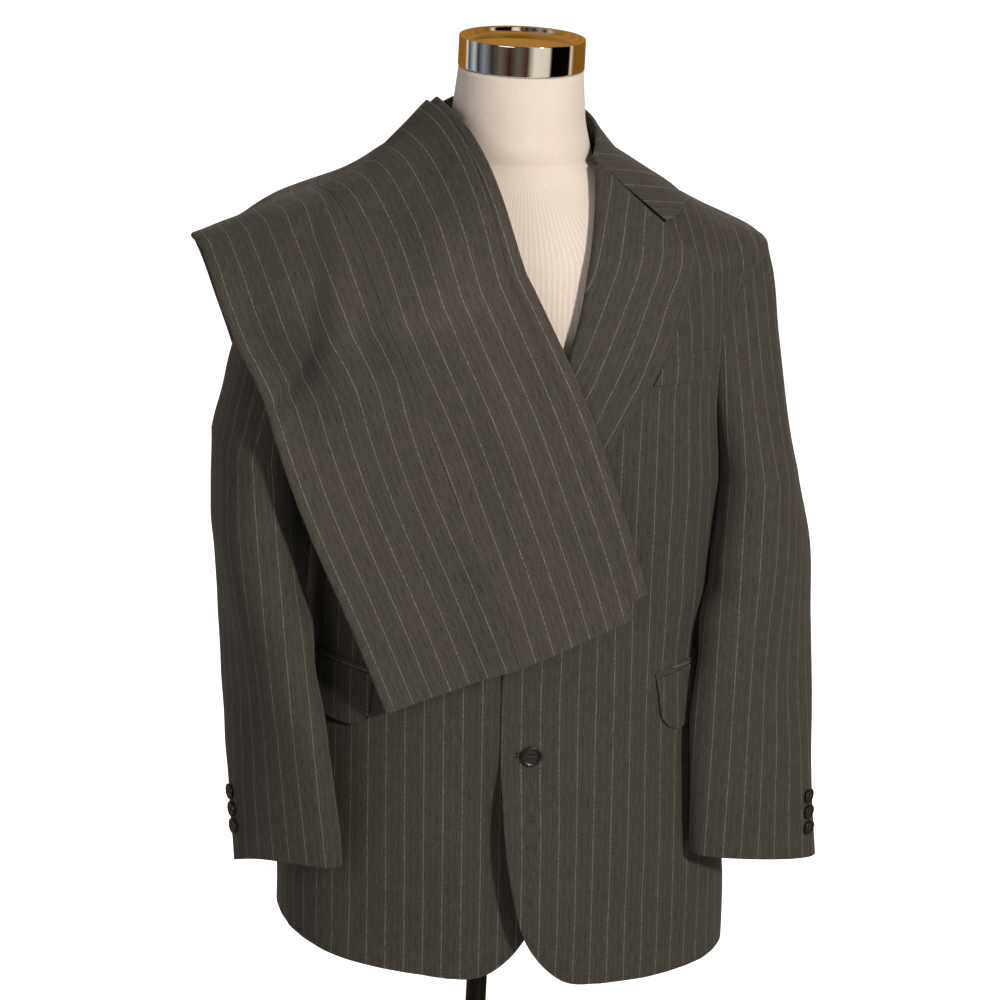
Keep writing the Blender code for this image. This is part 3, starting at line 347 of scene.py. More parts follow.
# %% [markdown]
# ## From a flat grid to a sheet of cloth
# A cut panel is a grid of points through the middle of the cloth. Giving it thickness with a
# Solidify modifier would leave square rims. Here the two faces close in on the middle along a
# quarter circle near every edge, as cloth does where it is folded and pressed at a hem or drawn
# in by a seam. The rows and columns lie close together there, so the roll is round.

# %% Spacing and thickness
EDGE_STEPS = np.array([0.0, 0.00012, 0.0004, 0.0008, 0.0014, 0.0028])


def lengths_along(points, axis):
    """Length from the first point of each line of a grid, along rows (1) or columns (0)."""
    steps = np.linalg.norm(np.diff(points, axis=axis), axis=-1)
    start = np.zeros_like(np.take(steps, [0], axis=axis))
    return np.concatenate([start, np.cumsum(steps, axis=axis)], axis=axis)


def respaced(places, surface, step, axis):
    """The same lines of places with new points: close together at both ends, `step` apart between."""
    lengths = np.moveaxis(lengths_along(surface(*split(places)), axis), axis, 1)
    places = np.moveaxis(places, axis, 1)
    middle = max(int(round(lengths[:, -1].max() / step)), 2)
    lines = []
    for line, length in zip(places, lengths):
        total = max(length[-1], 1e-6)
        near = EDGE_STEPS * min(1.0, total / 0.008)
        inner = np.linspace(near[-1], total - near[-1], middle + 1)[1:-1]
        at = np.concatenate([near, inner, total - near[::-1]])
        lines.append(np.stack([np.interp(at, length, column) for column in line.T], -1))
    return np.moveaxis(np.array(lines), 1, axis)


def grid_normals(points):
    return unit(np.cross(np.gradient(points, axis=1), np.gradient(points, axis=0)))


def edge_share(points, rolls):
    """0 on the edges and 1 past the nearest roll; rolls are left, right, first row, last row."""
    rows, columns = lengths_along(points, 1), lengths_along(points, 0)
    found = rows, rows[:, -1:] - rows, columns, columns[-1:] - columns
    return np.clip(np.minimum.reduce([far / roll for far, roll in zip(found, rolls)]), 0, 1)


print("edge steps in mm:", 1000 * EDGE_STEPS)


# %% A piece of cloth as a closed mesh
def grid_faces(index):
    return np.stack([index[:-1, :-1], index[:-1, 1:], index[1:, 1:], index[1:, :-1]], -1).reshape(-1, 4)


def new_piece(name, points, faces, uv, finish, nodes):
    """One named object that rides on the form and stands for the named solids."""
    corners = points[faces]
    volume = np.einsum("ij,ij->i", corners[:, 0], np.cross(corners[:, 1], corners[:, 2])).sum()
    volume += np.einsum("ij,ij->i", corners[:, 0], np.cross(corners[:, 2], corners[:, -1])).sum()
    faces = faces[:, ::-1] if volume < 0 else faces
    mesh = bpy.data.meshes.new(name)
    mesh.from_pydata(points.tolist(), [], faces.tolist())
    layer = mesh.uv_layers.new(name="cloth")
    layer.data.foreach_set("uv", uv[faces.ravel()].astype(np.float32).ravel())
    mesh.materials.append(finish)
    mesh.shade_smooth()
    made = placed(name, mesh)
    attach(made, "root")
    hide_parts(*nodes)
    return made


def ring_piece(name, rings, finish, nodes, uv):
    """A piece whose faces run round closed rings, from each ring to the next."""
    rings = np.asarray(rings, float)
    index = np.arange(rings[..., 0].size).reshape(rings.shape[:-1])
    index = np.concatenate([index, index[..., :1]], -1)
    faces = np.concatenate([grid_faces(rows) for rows in index.reshape(-1, *index.shape[-2:])])
    return new_piece(name, rings.reshape(-1, 3), faces, uv.reshape(-1, 2), finish, nodes)


def round_turns(count):
    return np.arange(count) * 2 * math.pi / count


HEM_ROLL, SEAM_ROLL = 0.0013, 0.0006


def cloth(name, middle, thickness, uv, finish, nodes, seams="", held="hung", rests_on=()):
    """A closed sheet round a grid of middle points."""
    rows, columns = middle.shape[:2]
    near = edge_share(middle, [SEAM_ROLL if side in seams else HEM_ROLL for side in "lrbt"])
    half = grid_normals(middle) * (thickness / 2 * np.sqrt(1 - (1 - near) ** 2))[..., None]
    top = np.arange(rows * columns).reshape(rows, columns)
    low = top + top.size
    for edge in (np.s_[0, :], np.s_[-1, :], np.s_[:, 0], np.s_[:, -1]):
        low[edge] = top[edge]
    points = np.concatenate([middle + half, middle - half]).reshape(-1, 3)
    faces = np.concatenate([grid_faces(top), grid_faces(low)[:, ::-1]])
    used, faces = np.unique(faces, return_inverse=True)
    both = np.concatenate([uv.reshape(-1, 2)] * 2)[used]
    made = new_piece(name, points[used], faces.reshape(-1, 4), both, finish, nodes)


# %% [markdown]
# ## Small tools for materials
# Colours are written as the hex values that a screen shows and turned to linear light here, once.
# `put` adds one node and gives back its output, so a material reads like a sum; the others are
# short names for the nodes that come again and again.

# %% Colour and node helpers
def linear(hex_colour):
    channels = [int(hex_colour[i:i + 2], 16) / 255 for i in (1, 3, 5)]
    return (*[c / 12.92 if c <= 0.04045 else ((c + 0.055) / 1.055) ** 2.4 for c in channels], 1.0)


def feed(node, sockets):
    """Each socket takes a value, or another node's output."""
    for key, value in dict(sockets).items():
        if isinstance(value, bpy.types.NodeSocket):
            node.id_data.links.new(value, node.inputs[key])
        else:
            node.inputs[key].default_value = value
    return node


def put(tree, kind, sockets=(), out=0, **settings):
    made = tree.nodes.new("ShaderNode" + kind)
    for name, value in settings.items():
        setattr(made, name, value)
    return feed(made, sockets).outputs[out]


def reckon(tree, operation, *values):
    return put(tree, "Math", enumerate(values), operation=operation)


def ranged(tree, value, *ends, soft=False):
    """Carries the first two ends to the other two, or to 0 and 1."""
    kind = "SMOOTHSTEP" if soft else "LINEAR"
    return put(tree, "MapRange", enumerate((value, *ends)), interpolation_type=kind)


def mixed(tree, share, first, second, kind="MIX"):
    """Two colours, each a hex value or an output, mixed by a share."""
    first, second = (linear(end) if isinstance(end, str) else end for end in (first, second))
    return put(tree, "Mix", {0: share, 6: first, 7: second}, 2, data_type="RGBA", blend_type=kind)


def toned(tree, tone, colour):
    grey = put(tree, "CombineXYZ", enumerate([tone] * 3))
    return mixed(tree, 1.0, colour, grey, "MULTIPLY")


def noise(tree, place, scale, detail, dimensions="2D"):
    if isinstance(scale, tuple):
        place, scale = put(tree, "Mapping", {0: place, 3: scale}), 1.0
    sockets = {"Vector": place, "Scale": scale, "Detail": detail}
    return put(tree, "TexNoise", sockets, noise_dimensions=dimensions)


def bump(tree, strength, distance, height):
    return put(tree, "Bump", {"Strength": strength, "Distance": distance, "Height": height})


def fresh_material(name, place, **settings):
    """A material, its tree, its shader and the output that says where a point lies."""
    made = bpy.data.materials.new(name)
    made.use_nodes = True
    tree = made.node_tree
    out = "Object" if place == "TexCoord" else 0
    return made, tree, tree.nodes["Principled BSDF"], put(tree, place, out=out, **settings)


print("mid grey is", round(linear("#808080")[0], 3))

# %% [markdown]
# ## Worsted with a pinstripe
# Worsted is wool spun from combed fibres and woven in a fine twill, about 25 threads to the
# centimetre. The eye gets a matt, slightly mottled charcoal with short streaks down the warp, a
# faint halo of fibre at grazing angles, and a thin broken line where a pale thread runs down
# every 18.5 mm. Between the pinstripes finer lines, 3 mm apart and hardly lighter than the ground,
# come from the order of the warp threads. The stripes read the cut panel's own lengths, kept as a
# UV map in metres, so they follow the grain of each piece. Thread by thread the twill is too fine
# to show; it is drawn about three times too coarse.

# %% Worsted
STRIPE_SPACING, FINE_LINES = 0.0185, 6


def worsted(name, ground, warm, stripe, phase=0.0):
    """Pinstripe worsted; `phase` shifts the stripes by a share of their spacing."""
    made, tree, shader, place = fresh_material(name, "UVMap", uv_map="cloth")
    across_m = put(tree, "SeparateXYZ", {0: place})
    turns = reckon(tree, "MULTIPLY_ADD", across_m, 1 / STRIPE_SPACING, phase + 100.0)
    away = reckon(tree, "ABSOLUTE", reckon(tree, "SUBTRACT", reckon(tree, "FRACT", turns), 0.5))
    # The pale thread is about 0.5 mm wide and fades over the next thread on either side.
    line = ranged(tree, away, 0.00025 / STRIPE_SPACING, 0.00085 / STRIPE_SPACING, 1.0, 0.0, soft=True)
    fine = reckon(tree, "PINGPONG", reckon(tree, "MULTIPLY", turns, float(FINE_LINES)), 1.0)
    # Warp streaks: 0.9 mm across and 14 mm long, drawn coarser than the 0.4 mm threads.
    streak = noise(tree, place, (1100.0, 70.0, 1.0), 2.0)
    fuzz = noise(tree, place, (620.0, 620.0, 1.0), 3.0)
    broken = noise(tree, place, (40.0, 420.0, 1.0), 1.0)
    shown = reckon(tree, "MULTIPLY", line, ranged(tree, broken, 0.30, 0.70, 0.25, 0.85))
    threads = reckon(tree, "ADD", streak, fuzz)
    tone = ranged(tree, reckon(tree, "MULTIPLY_ADD", fine, -0.16, threads), 0.52, 1.32, 0.56, 1.44)
    shaded = toned(tree, tone, mixed(tree, noise(tree, place, 22.0, 2.0), ground, warm))
    feed(shader, {
        "Base Color": mixed(tree, shown, shaded, stripe),
        "Roughness": ranged(tree, fuzz, 0.3, 0.7, 0.78, 0.92), "Specular IOR Level": 0.28,
        "Sheen Weight": 0.10, "Sheen Roughness": 0.45,
        "Normal": bump(tree, 0.35, 0.0004, reckon(tree, "ADD", threads, shown)),
    })
    return made


JACKET_CLOTH = worsted("worsted_jacket", "#3D3932", "#413D35", "#746F68")
LAPEL_CLOTH = worsted("worsted_lapel", "#3F3B34", "#433F37", "#746F68", 0.5)
TROUSER_CLOTH = worsted("worsted_trousers", "#454139", "#4A453E", "#7F7972")
print("materials", JACKET_CLOTH.name, TROUSER_CLOTH.name)

# %% [markdown]
# ## Which way the stripes run
# A front is cut with the stripes upright, parallel to its edge. Below the chest a stripe keeps
# its distance from centre front, measured round the trunk. Over the shoulder the flat cloth can
# only follow an upright plane that leans a little to the neck. The back does the same from its
# own centre seam, and a side panel from its middle.

# %% Grain of the trunk panels
CHEST_Z = 1.19
CHEST_ROW = int(round((CHEST_Z - HEIGHTS[0]) / (HEIGHTS[1] - HEIGHTS[0])))
SIDE_MIDDLE_U = 0.515


def carried_up(arc, x, xs, arcs, weight):
    """From metres round the trunk to those of the chest's row, read at the same distance sideways."""
    return arc * (1 - weight) + (np.interp(x, xs, arcs) + np.maximum(x - xs[-1], 0)) * weight


def front_grain(u, z):
    size = np.abs(u)
    arc = size * arc_of(size * 0.99, z)
    half = len(ARC) // 2 + 1
    x = ring_read(RING_X, size, z) + 0.12 * np.maximum(z - 1.20, 0)
    xs, arcs = RING_X[CHEST_ROW, :half], ARC[:half] * 2 * FRONT_ARC[CHEST_ROW]
    return carried_up(arc, x, xs, arcs, smooth(z, 1.13, 1.21))


def back_grain(u, z):
    size = 1 - np.abs(u)
    arc = size * 2 * np.interp(z, HEIGHTS, BACK_ARC)
    half = len(ARC) // 2
    x = ring_read(RING_X, np.abs(u), z)
    xs, arcs = RING_X[CHEST_ROW, half:][::-1], (1 - ARC[half:][::-1]) * 2 * BACK_ARC[CHEST_ROW]
    return carried_up(arc, x, xs, arcs, smooth(z, 1.15, 1.22))


def side_grain(u, z):
    return (u - SIDE_MIDDLE_U) * arc_of(u, z)


print("grain at the side seam:", np.round(front_grain(np.array(0.43), np.array([0.6, 0.9, 1.1])), 3))

# %% [markdown]
# ## Fronts, side panels and backs
# A jacket's trunk has a front, a side panel and a back on each side. The front's inner edge goes
# round the cutaway corner, up the closing edge and then up the roll line, where the lapel turns
# back. The panels meet at seams, and the rolled edges there leave the fine groove of a pressed
# seam.

# %% Outlines of the panels
ARMHOLE_Z, ARMHOLE_HALF_HEIGHT, ARMHOLE_HALF_WIDTH = 1.183, 0.089, 0.125
FRONT_ARM_TURN, BACK_ARM_TURN = 236.0, 323.0
SIDE_SEAM_U, BACK_SEAM_U = 0.430, 0.600
WALL = 0.0020
FRONT_EDGE = table(
    "row reach height side_height",
    (0, 0.0755, 0.5560, 0.5630),
    (1, 0.0445, 0.5590, 0.5830),
    (2, 0.0190, 0.5760, 0.6080),
    (3, -0.0050, 0.6110, 0.6440),
    (4, -0.0180, 0.6600, 0.6900),
    (5, -0.0255, 0.7150, 0.7400),
    (6, -0.0280, 0.7800, 0.8000),
    (7, -0.0280, 0.8500, 0.8600),
    (8, -0.0250, 0.9200, 0.9200),
    (9, -0.0110, 0.9900, 0.9850),
    (10, 0.0025, 1.0600, 1.0480),
    (11, 0.0140, 1.1250, 1.1092),
    (12, 0.0260, 1.1870, 1.1700),
    (13, 0.0380, 1.2260, 1.2200),
    (14, 0.0470, 1.2650, 1.2500),
    (15, 0.0550, 1.2980, 1.2900),
    (16, 0.0605, 1.3240, 1.3200),
    (17, 0.0655, 1.3510, 1.3500),
)


def armhole(turn, inset=0.0):
    """The armhole seam as (u, z) places: turn 90 is the shoulder point, 180 the front."""
    turn = np.radians(np.asarray(turn, float))
    up, back = np.sin(turn), np.cos(turn)
    z = ARMHOLE_Z + (ARMHOLE_HALF_HEIGHT - inset) * up
    arc = np.interp(z, HEIGHTS, FRONT_ARC + BACK_ARC)
    # The seam drops from the shoulder point more steeply in front than behind.
    steep = 0.12 * smooth(up, -0.75, 0.0) + 0.10 * fold(up, 0.45, 0.30)
    u = 0.5 + (ARMHOLE_HALF_WIDTH - inset / arc) * back * np.where(back < 0, 1 - steep, 1.0)
    return joined(u, z)


def ruled(left, right, columns):
    """Places on straight lines between two edges given row by row."""
    share = np.linspace(0.0, 1.0, columns)[None, :, None]
    return left[:, None] * (1 - share) + right[:, None] * share


def front_places():
    rows = np.linspace(0.0, 17.0, 171)
    reach, z = read(FRONT_EDGE, "reach", rows), read(FRONT_EDGE, "height", rows)
    edge = joined(u_at(reach, z), z)
    neck = np.linspace(edge[-1], [0.5, NECK_POINT_Z], 21)[1:]
    low = through(np.arange(12), FRONT_EDGE["side_height"][:12], np.linspace(0, 11, 111))
    side = joined(SIDE_SEAM_U, low)
    arm = armhole(FRONT_ARM_TURN + (90 - FRONT_ARM_TURN) * np.linspace(0, 1, 81)[1:])
    return ruled(np.concatenate([edge, neck]), np.concatenate([side, arm]), 61)


def back_places():
    heights = [0.565, 0.620, 0.690, 0.760, 0.825, 0.885, 0.940, 0.990, 1.040, 1.088]
    centre = through(np.arange(15), heights + [1.130, 1.190, 1.245, 1.300, 1.350], np.linspace(0, 14, 141))
    centre = joined(1.0, centre)
    neck = np.linspace(centre[-1], [0.80, NECK_POINT_Z], 11)[1:]
    neck = np.concatenate([neck, np.linspace([0.80, NECK_POINT_Z], [0.5, NECK_POINT_Z], 11)[1:]])
    low = through(np.arange(11), heights + [1.1294], np.linspace(0, 10, 101))
    side = joined(BACK_SEAM_U, low)
    arm = armhole((BACK_ARM_TURN - 360) + (90 + 360 - BACK_ARM_TURN) * np.linspace(0, 1, 61)[1:])
    return ruled(np.concatenate([centre, neck]), np.concatenate([side, arm]), 61)


def side_places():
    part = np.linspace(0.0, 1.0, 31)
    top = armhole(FRONT_ARM_TURN + (BACK_ARM_TURN - FRONT_ARM_TURN) * part)
    share = np.linspace(0.0, 1.0, 101)[:, None]
    z = HEM_Z + 0.001 + (top[:, 1] - HEM_Z - 0.001) * share
    u = (SIDE_SEAM_U + (BACK_SEAM_U - SIDE_SEAM_U) * part) * (1 - share ** 3) + top[:, 0] * share ** 3
    return joined(u, z)


print("front", front_places().shape, "back", back_places().shape, "side", side_places().shape)

# %% Lapping of the left front over the right one
LAP, LAP_ON_LAPEL = 0.0028, 0.0056
LAP_OPEN, UNDERLAP_SINK = 0.0135, 0.0095  # below the last button the fronts gape by this much


def lap_lift(u, z):
    reach = u * arc_of(u, z)
    lapel = band(z, 0.850, 0.918, 1.06, 1.13)
    plain = LAP * (1 - smooth(z, 1.06, 1.14))
    bottom = 0.55 + 0.45 * smooth(z, 0.55, 0.63)
    gape = LAP_OPEN * bottom * (1 - smooth(z, 0.70, 0.80)) * (1 - smooth(reach, -0.03, 0.075))
    return (plain + LAP_ON_LAPEL * lapel) * (1 - smooth(reach, 0.034, 0.070)) + gape


def underlap_sink(u, z):
    return -UNDERLAP_SINK * (1 - smooth(z, 0.72, 0.82)) * (1 - smooth(u * arc_of(u, z), 0.0, 0.09))


def fitted(places, surface, step=0.0055):
    """Places respaced both ways for a smooth sheet with rolled edges."""
    return respaced(respaced(places, surface, step, 1), surface, step, 0)


SIDES = (("left", 1), ("right", -1))
PANELS = (
    ("front", fitted(front_places(), trunk), front_grain, "rt"),
    ("back", fitted(back_places(), trunk), back_grain, "lrt"),
    ("side", fitted(side_places(), trunk), side_grain, "lrt"),
)
for name, side in SIDES:
    for part, places, grain, seams in PANELS:
        u, z = split(places)
        lift = 0.0
        if part == "front":
            lift = lap_lift(u, z) if side > 0 else underlap_sink(u, z)
        cloth(f"cloth_{part}_{name}", on_jacket(u * side, z, lift - WALL / 2), WALL, joined(grain(u, z), z),
              JACKET_CLOTH, [f"{part}_{name}"], seams)

# %% [markdown]
# ## Lapels
# A lapel is the top of the front turned back on itself along the roll line. It is not creased
# there but rolls, so its grid starts at the front's edge, goes round a half circle of 3 mm and
# only then lies on the chest. The stripes run parallel to its outer edge, because that is how the
# facing is cut.

# %% Lapel shape
LAPEL_OUT, LAPEL_WALL = 0.0015, 0.0024
LAPEL = table(
    "row roll_height edge_reach edge_height",
    (0, 0.936, -0.0130, 0.936),
    (1, 0.975, 0.0080, 0.985),
    (2, 1.025, 0.0340, 1.035),
    (3, 1.085, 0.0600, 1.085),
    (4, 1.140, 0.0860, 1.130),
    (5, 1.190, 0.1120, 1.170),
    (6, 1.230, 0.1290, 1.203),
    (7, 1.268, 0.1430, 1.236),
    (8, 1.305, 0.1510, 1.260),
    (9, 1.3485, 0.1540, 1.2735),
)
ROLL_TURNS = np.radians([-90, -65, -40, -15, 10, 35, 60])
LAPEL_BESIDE = 0.04  # how far outside the lapel the line lies that its stripes are measured from
LAPEL_FIRST_STRIPE = 0.0045


def roll_reach(z):
    return read(FRONT_EDGE, "reach", np.interp(z, FRONT_EDGE["height"], FRONT_EDGE["row"]))


def lapel_sheet(side):
    """The middle of the lapel's cloth, from the front's edge round the roll to its outer edge."""
    rows = np.linspace(0, 9, 91)
    roll_z = read(LAPEL, "roll_height", rows)
    left = joined(roll_reach(roll_z), roll_z)
    right = joined(read(LAPEL, "edge_reach", rows), read(LAPEL, "edge_height", rows))
    flat = fitted(ruled(left, right, 41), lambda reach, z: trunk(u_at(reach, z), z), 0.005)[:, 5:]
    far = np.linalg.norm(flat - flat[:, :1], axis=-1)
    share = far / far[:, -1:]
    u, z = u_at(*split(flat)), flat[..., 1]
    lift = lap_lift(u, z) if side > 0 else 0.0 * u
    out = LAPEL_OUT + LAPEL_WALL / 2 + 0.0009 * np.sin(math.pi * share) + 0.0020 * (1 - share) ** 2
    body = on_jacket(u * side, z, out + lift)
    # The roll goes from the front's own edge, round towards the middle, up to the lapel's start.
    first, z = u[:, :1], z[:, :1]
    radius = (out[:, :1] + WALL / 2) / 2
    offset = radius - WALL / 2 + radius * np.sin(ROLL_TURNS)[None, :] + lift[:, :1]
    shift = -radius * np.cos(ROLL_TURNS)[None, :] / arc_of(first, z)
    rolled = on_jacket((first + shift) * side, z + 0 * shift, offset)
    return np.concatenate([rolled, body], axis=1)


def distance_to_line(points, line):
    """Shortest distance of each point from a line of points, in its extended plane."""
    best = np.full(points.shape[:-1], 9.0)
    for a, b in zip(line, line[1:]):
        along = np.clip(((points - a) @ (b - a)) / max((b - a) @ (b - a), 1e-12), 0, 1)
        best = np.minimum(best, np.linalg.norm(points - (a + along[..., None] * (b - a)), axis=-1))
    return best


for name, side in SIDES:
    middle = lapel_sheet(side)
    edge = middle[::3, -1]
    edge = np.concatenate([[2 * edge[0] - edge[2]], edge, [edge[-1] + (edge[-1] - edge[-6]) * 6]])
    # The stripes bow half as much as the edge, so they are measured from a line beside it.
    chord = edge[0] + (edge[-1] - edge[0]) * np.linspace(0, 1, len(edge))[:, None]
    half_way = middle[len(middle) // 2]
    beside = unit(half_way[-1] - half_way[12]) * LAPEL_BESIDE
    from_line = distance_to_line(middle, (edge + chord) / 2 + beside)
    uv = joined(from_line - LAPEL_BESIDE - LAPEL_FIRST_STRIPE, lengths_along(middle, 0))
    cloth(f"cloth_lapel_{name}", middle, LAPEL_WALL, uv, LAPEL_CLOTH, [f"lapel_{name}"],
          held="folded", rests_on=[f"cloth_front_{name}"])

# %% [markdown]
# ## Collar
# The collar stands up round the neck, folds over and falls on to the shoulders. At each front end
# it is sewn to the lapel along the gorge, as far as the notch. Its stripes run across its width.

# %% Collar shape
COLLAR = table(
    "around fold_x fold_y fold_z meet_u meet_z edge_u edge_z",
    (0.00, 0.0660, -0.0450, 1.3535, 0.2790, 1.3370, 0.4280, 1.3130),
    (0.15, 0.0745, -0.0220, 1.3640, 0.3700, 1.3430, 0.4600, 1.3190),
    (0.35, 0.0790, 0.0120, 1.3750, 0.5000, 1.3490, 0.5300, 1.3270),
    (0.55, 0.0700, 0.0460, 1.3840, 0.6400, 1.3530, 0.6600, 1.3350),
    (0.78, 0.0390, 0.0760, 1.3900, 0.8200, 1.3550, 0.8400, 1.3420),
    (1.00, 0.0000, 0.0850, 1.3920, 1.0000, 1.3560, 1.0000, 1.3440),
)
NOTCH = np.array([0.2815, 1.3005])
NOTCH_SHARE, MEET_SHARE = 0.66, 0.30
FOLD_RADIUS = 0.0016
END_TAPER, END_EASE, END_LEAN = 0.15, 0.17, 0.56
STRIPE_RISE, STRIPE_JOINT, STRIPE_STRETCH = np.array([0.0, 0.316, 0.949]), 0.36, 1.22


def from_end_of(around):
    """0 at either end of the collar and 1 at centre back."""
    return np.where(around > 1, 2 - around, around)


def collar_fall(around, share):
    """The collar's outer face: `around` runs from the left end (0) to the right (2)."""
    around, share = floats(around, share)
    turn = from_end_of(around)
    folded, meet, edge = (joined(*(read(COLLAR, name, turn) for name in names.split()))
                          for names in ("fold_x fold_y fold_z", "meet_u meet_z", "edge_u edge_z"))
    down = np.clip((share - MEET_SHARE) / (1 - MEET_SHARE), 0, 1)[..., None]
    knee = (NOTCH_SHARE - MEET_SHARE) / (1 - MEET_SHARE)
    by_notch = meet + (NOTCH - meet) * np.clip(down / knee, 0, 1)
    by_notch = by_notch + (edge - NOTCH) * np.clip((down - knee) / (1 - knee), 0, 1)
    weight = (1 - smooth(turn, 0.0, 0.30))[..., None]
    place = (meet + (edge - meet) * down) * (1 - weight) + by_notch * weight
    off = LAPEL_OUT + 0.0004 + LAPEL_WALL + 0.0035 * (1 - down[..., 0]) * smooth(turn, 0.05, 0.4)
    low = trunk(*split(place), off)
    rise = np.clip(share / MEET_SHARE, 0, 1)[..., None]
    out = low * rise + folded * (1 - rise)
    out[..., 0] *= np.where(around > 1, -1.0, 1.0)
    return out


def round_neck(around):
    """Level outward direction at the fold."""
    return unit(collar_fall(around, 0.0) * (1, 1, 0))


around = np.linspace(0.0, 2.0, 201)[None, :]
share = np.concatenate([np.linspace(0.0, NOTCH_SHARE, 41), np.linspace(NOTCH_SHARE, 1.0, 22)[1:]])[:, None]
fall_grid = respaced(joined(around, share), collar_fall, 0.005, 1)
fall_grid = respaced(fall_grid, collar_fall, 0.0035, 0)
fall = collar_fall(*split(fall_grid))
fall_normal = grid_normals(fall)
if fall_normal[len(fall) // 2, fall.shape[1] // 2, 1] < 0:
    fall_normal = -fall_normal
fall = fall - fall_normal * (LAPEL_WALL / 2 - 0.0006 * np.sin(math.pi * fall_grid[..., 1:]) ** 2)
fold_turns = np.radians(np.linspace(170, 20, 7))[:, None, None]
outward = round_neck(fall_grid[0, :, 0])
fold_centre = fall[0] - outward * FOLD_RADIUS
over = fold_centre + FOLD_RADIUS * (outward * np.cos(fold_turns) + np.array([0, 0, 1.0]) * np.sin(fold_turns))
middle = swung(np.concatenate([over, fall]))
along = lengths_along(middle, 1)[len(over) + 3]
across_m = lengths_along(middle, 0)
end = np.minimum(along, along[-1] - along)
slant = 1 - smooth(end, 0.0, END_TAPER)
from_end = end * (1 - END_EASE * slant) - END_LEAN * np.maximum(across_m - 0.01, 0) * slant
from_middle = along[-1] / 2 - from_end
# At its two ends the fall is cut so that the stripes lie level; behind they stand upright.
level = middle @ STRIPE_RISE
turned_by = from_end_of(np.concatenate([[fall_grid[0, :, 0]] * len(over), fall_grid[..., 0]]))
joint = int(np.argmin(np.abs(turned_by[-1] - STRIPE_JOINT)))
level_run = from_middle[-12, joint] + STRIPE_STRETCH * (level[-12, joint] - level)
blend = smooth(turned_by, 0.20, 0.50)
from_middle = (level_run * (1 - blend) + from_middle * blend) * np.where(along < along[-1] / 2, -1.0, 1.0)
cloth("cloth_collar", middle, LAPEL_WALL, joined(from_middle, across_m), LAPEL_CLOTH, ["collar_fall"],
      held="folded", rests_on=["cloth_back_left", "cloth_back_right"])

# %% Collar stand
STAND_START_U = 0.36
around = np.linspace(0.16, 1.84, 161)
flat_out = round_neck(around)
top = collar_fall(around, 0.0) - flat_out * (LAPEL_WALL + 0.0010) - (0, 0, 0.0010)
seam_u = np.maximum(read(COLLAR, "meet_u", from_end_of(around)), STAND_START_U)
foot = trunk(np.where(around > 1, -seam_u, seam_u), NECK_POINT_Z) - flat_out * 0.0015 + (0, 0, 0.0012)
rows = np.linspace(0.0, 1.0, 16)[:, None, None]
middle = swung(foot * (1 - rows) + top * rows - flat_out * WALL / 2)
cloth("cloth_collar_stand", middle, WALL, joined(lengths_along(middle, 1), middle[..., 2]), LAPEL_CLOTH,
      ["collar_stand"], held="stretched", rests_on=["cloth_collar"])

# %% [markdown]
# ## Sleeves
# A tailored sleeve has a top and an under part, joined by two seams and eased into the armhole.
# It hangs with a bend at the elbow, and shallow creases gather on the inside of that bend. The
# stripes of the sleeve head are carried up from the upper arm along the fall of the cloth.

# %% Sleeve shape
SLEEVE_COLUMNS = "drop height x y outer inner long turn"
SLEEVE = {
    "left": table(
        SLEEVE_COLUMNS,
        (0, 1.060, 0.2410, -0.014, 0.0440, 0.0360, 0.0780, 16),
        (1, 0.982, 0.2450, -0.029, 0.0450, 0.0400, 0.0800, 30),
        (2, 0.908, 0.2390, -0.051, 0.0430, 0.0330, 0.0830, 45),
        (3, 0.834, 0.2340, -0.072, 0.0390, 0.0240, 0.0795, 56),
        (4, 0.760, 0.2340, -0.090, 0.0330, 0.0190, 0.0740, 66),
        (5, 0.685, 0.2370, -0.100, 0.0280, 0.0180, 0.0710, 75),
    ),
    "right": table(
        SLEEVE_COLUMNS,
        (0, 1.0600, 0.2440, -0.0160, 0.0440, 0.0360, 0.0780, 5),
        (1, 0.9795, 0.2475, -0.0305, 0.0450, 0.0400, 0.0800, 0),
        (2, 0.8980, 0.2415, -0.0520, 0.0430, 0.0330, 0.0820, 11),
        (3, 0.8160, 0.2355, -0.0730, 0.0390, 0.0240, 0.0790, 23.5),
        (4, 0.7345, 0.2310, -0.0905, 0.0330, 0.0190, 0.0700, 36),
        (5, 0.6570, 0.2270, -0.1000, 0.0280, 0.0180, 0.0630, 46),
    ),
}
CUFF_SLANT, CROWN, SEAM = 0.006, 0.34, 0.0003
CUFF_RISE = {"left": 0.0025, "right": 0.0100}  # the hem is this much higher half way round its top part
CUFF_LEVEL = {"left": 0.0, "right": 0.0110}  # and this much higher in front, lower behind
ARM_RADIUS, ARM_LENGTH = 0.06, 0.62
ARM_SWELLS = {"left": swells(21, 8, 0.05, 0.13, 0.5), "right": swells(35, 8, 0.05, 0.13, 0.5)}


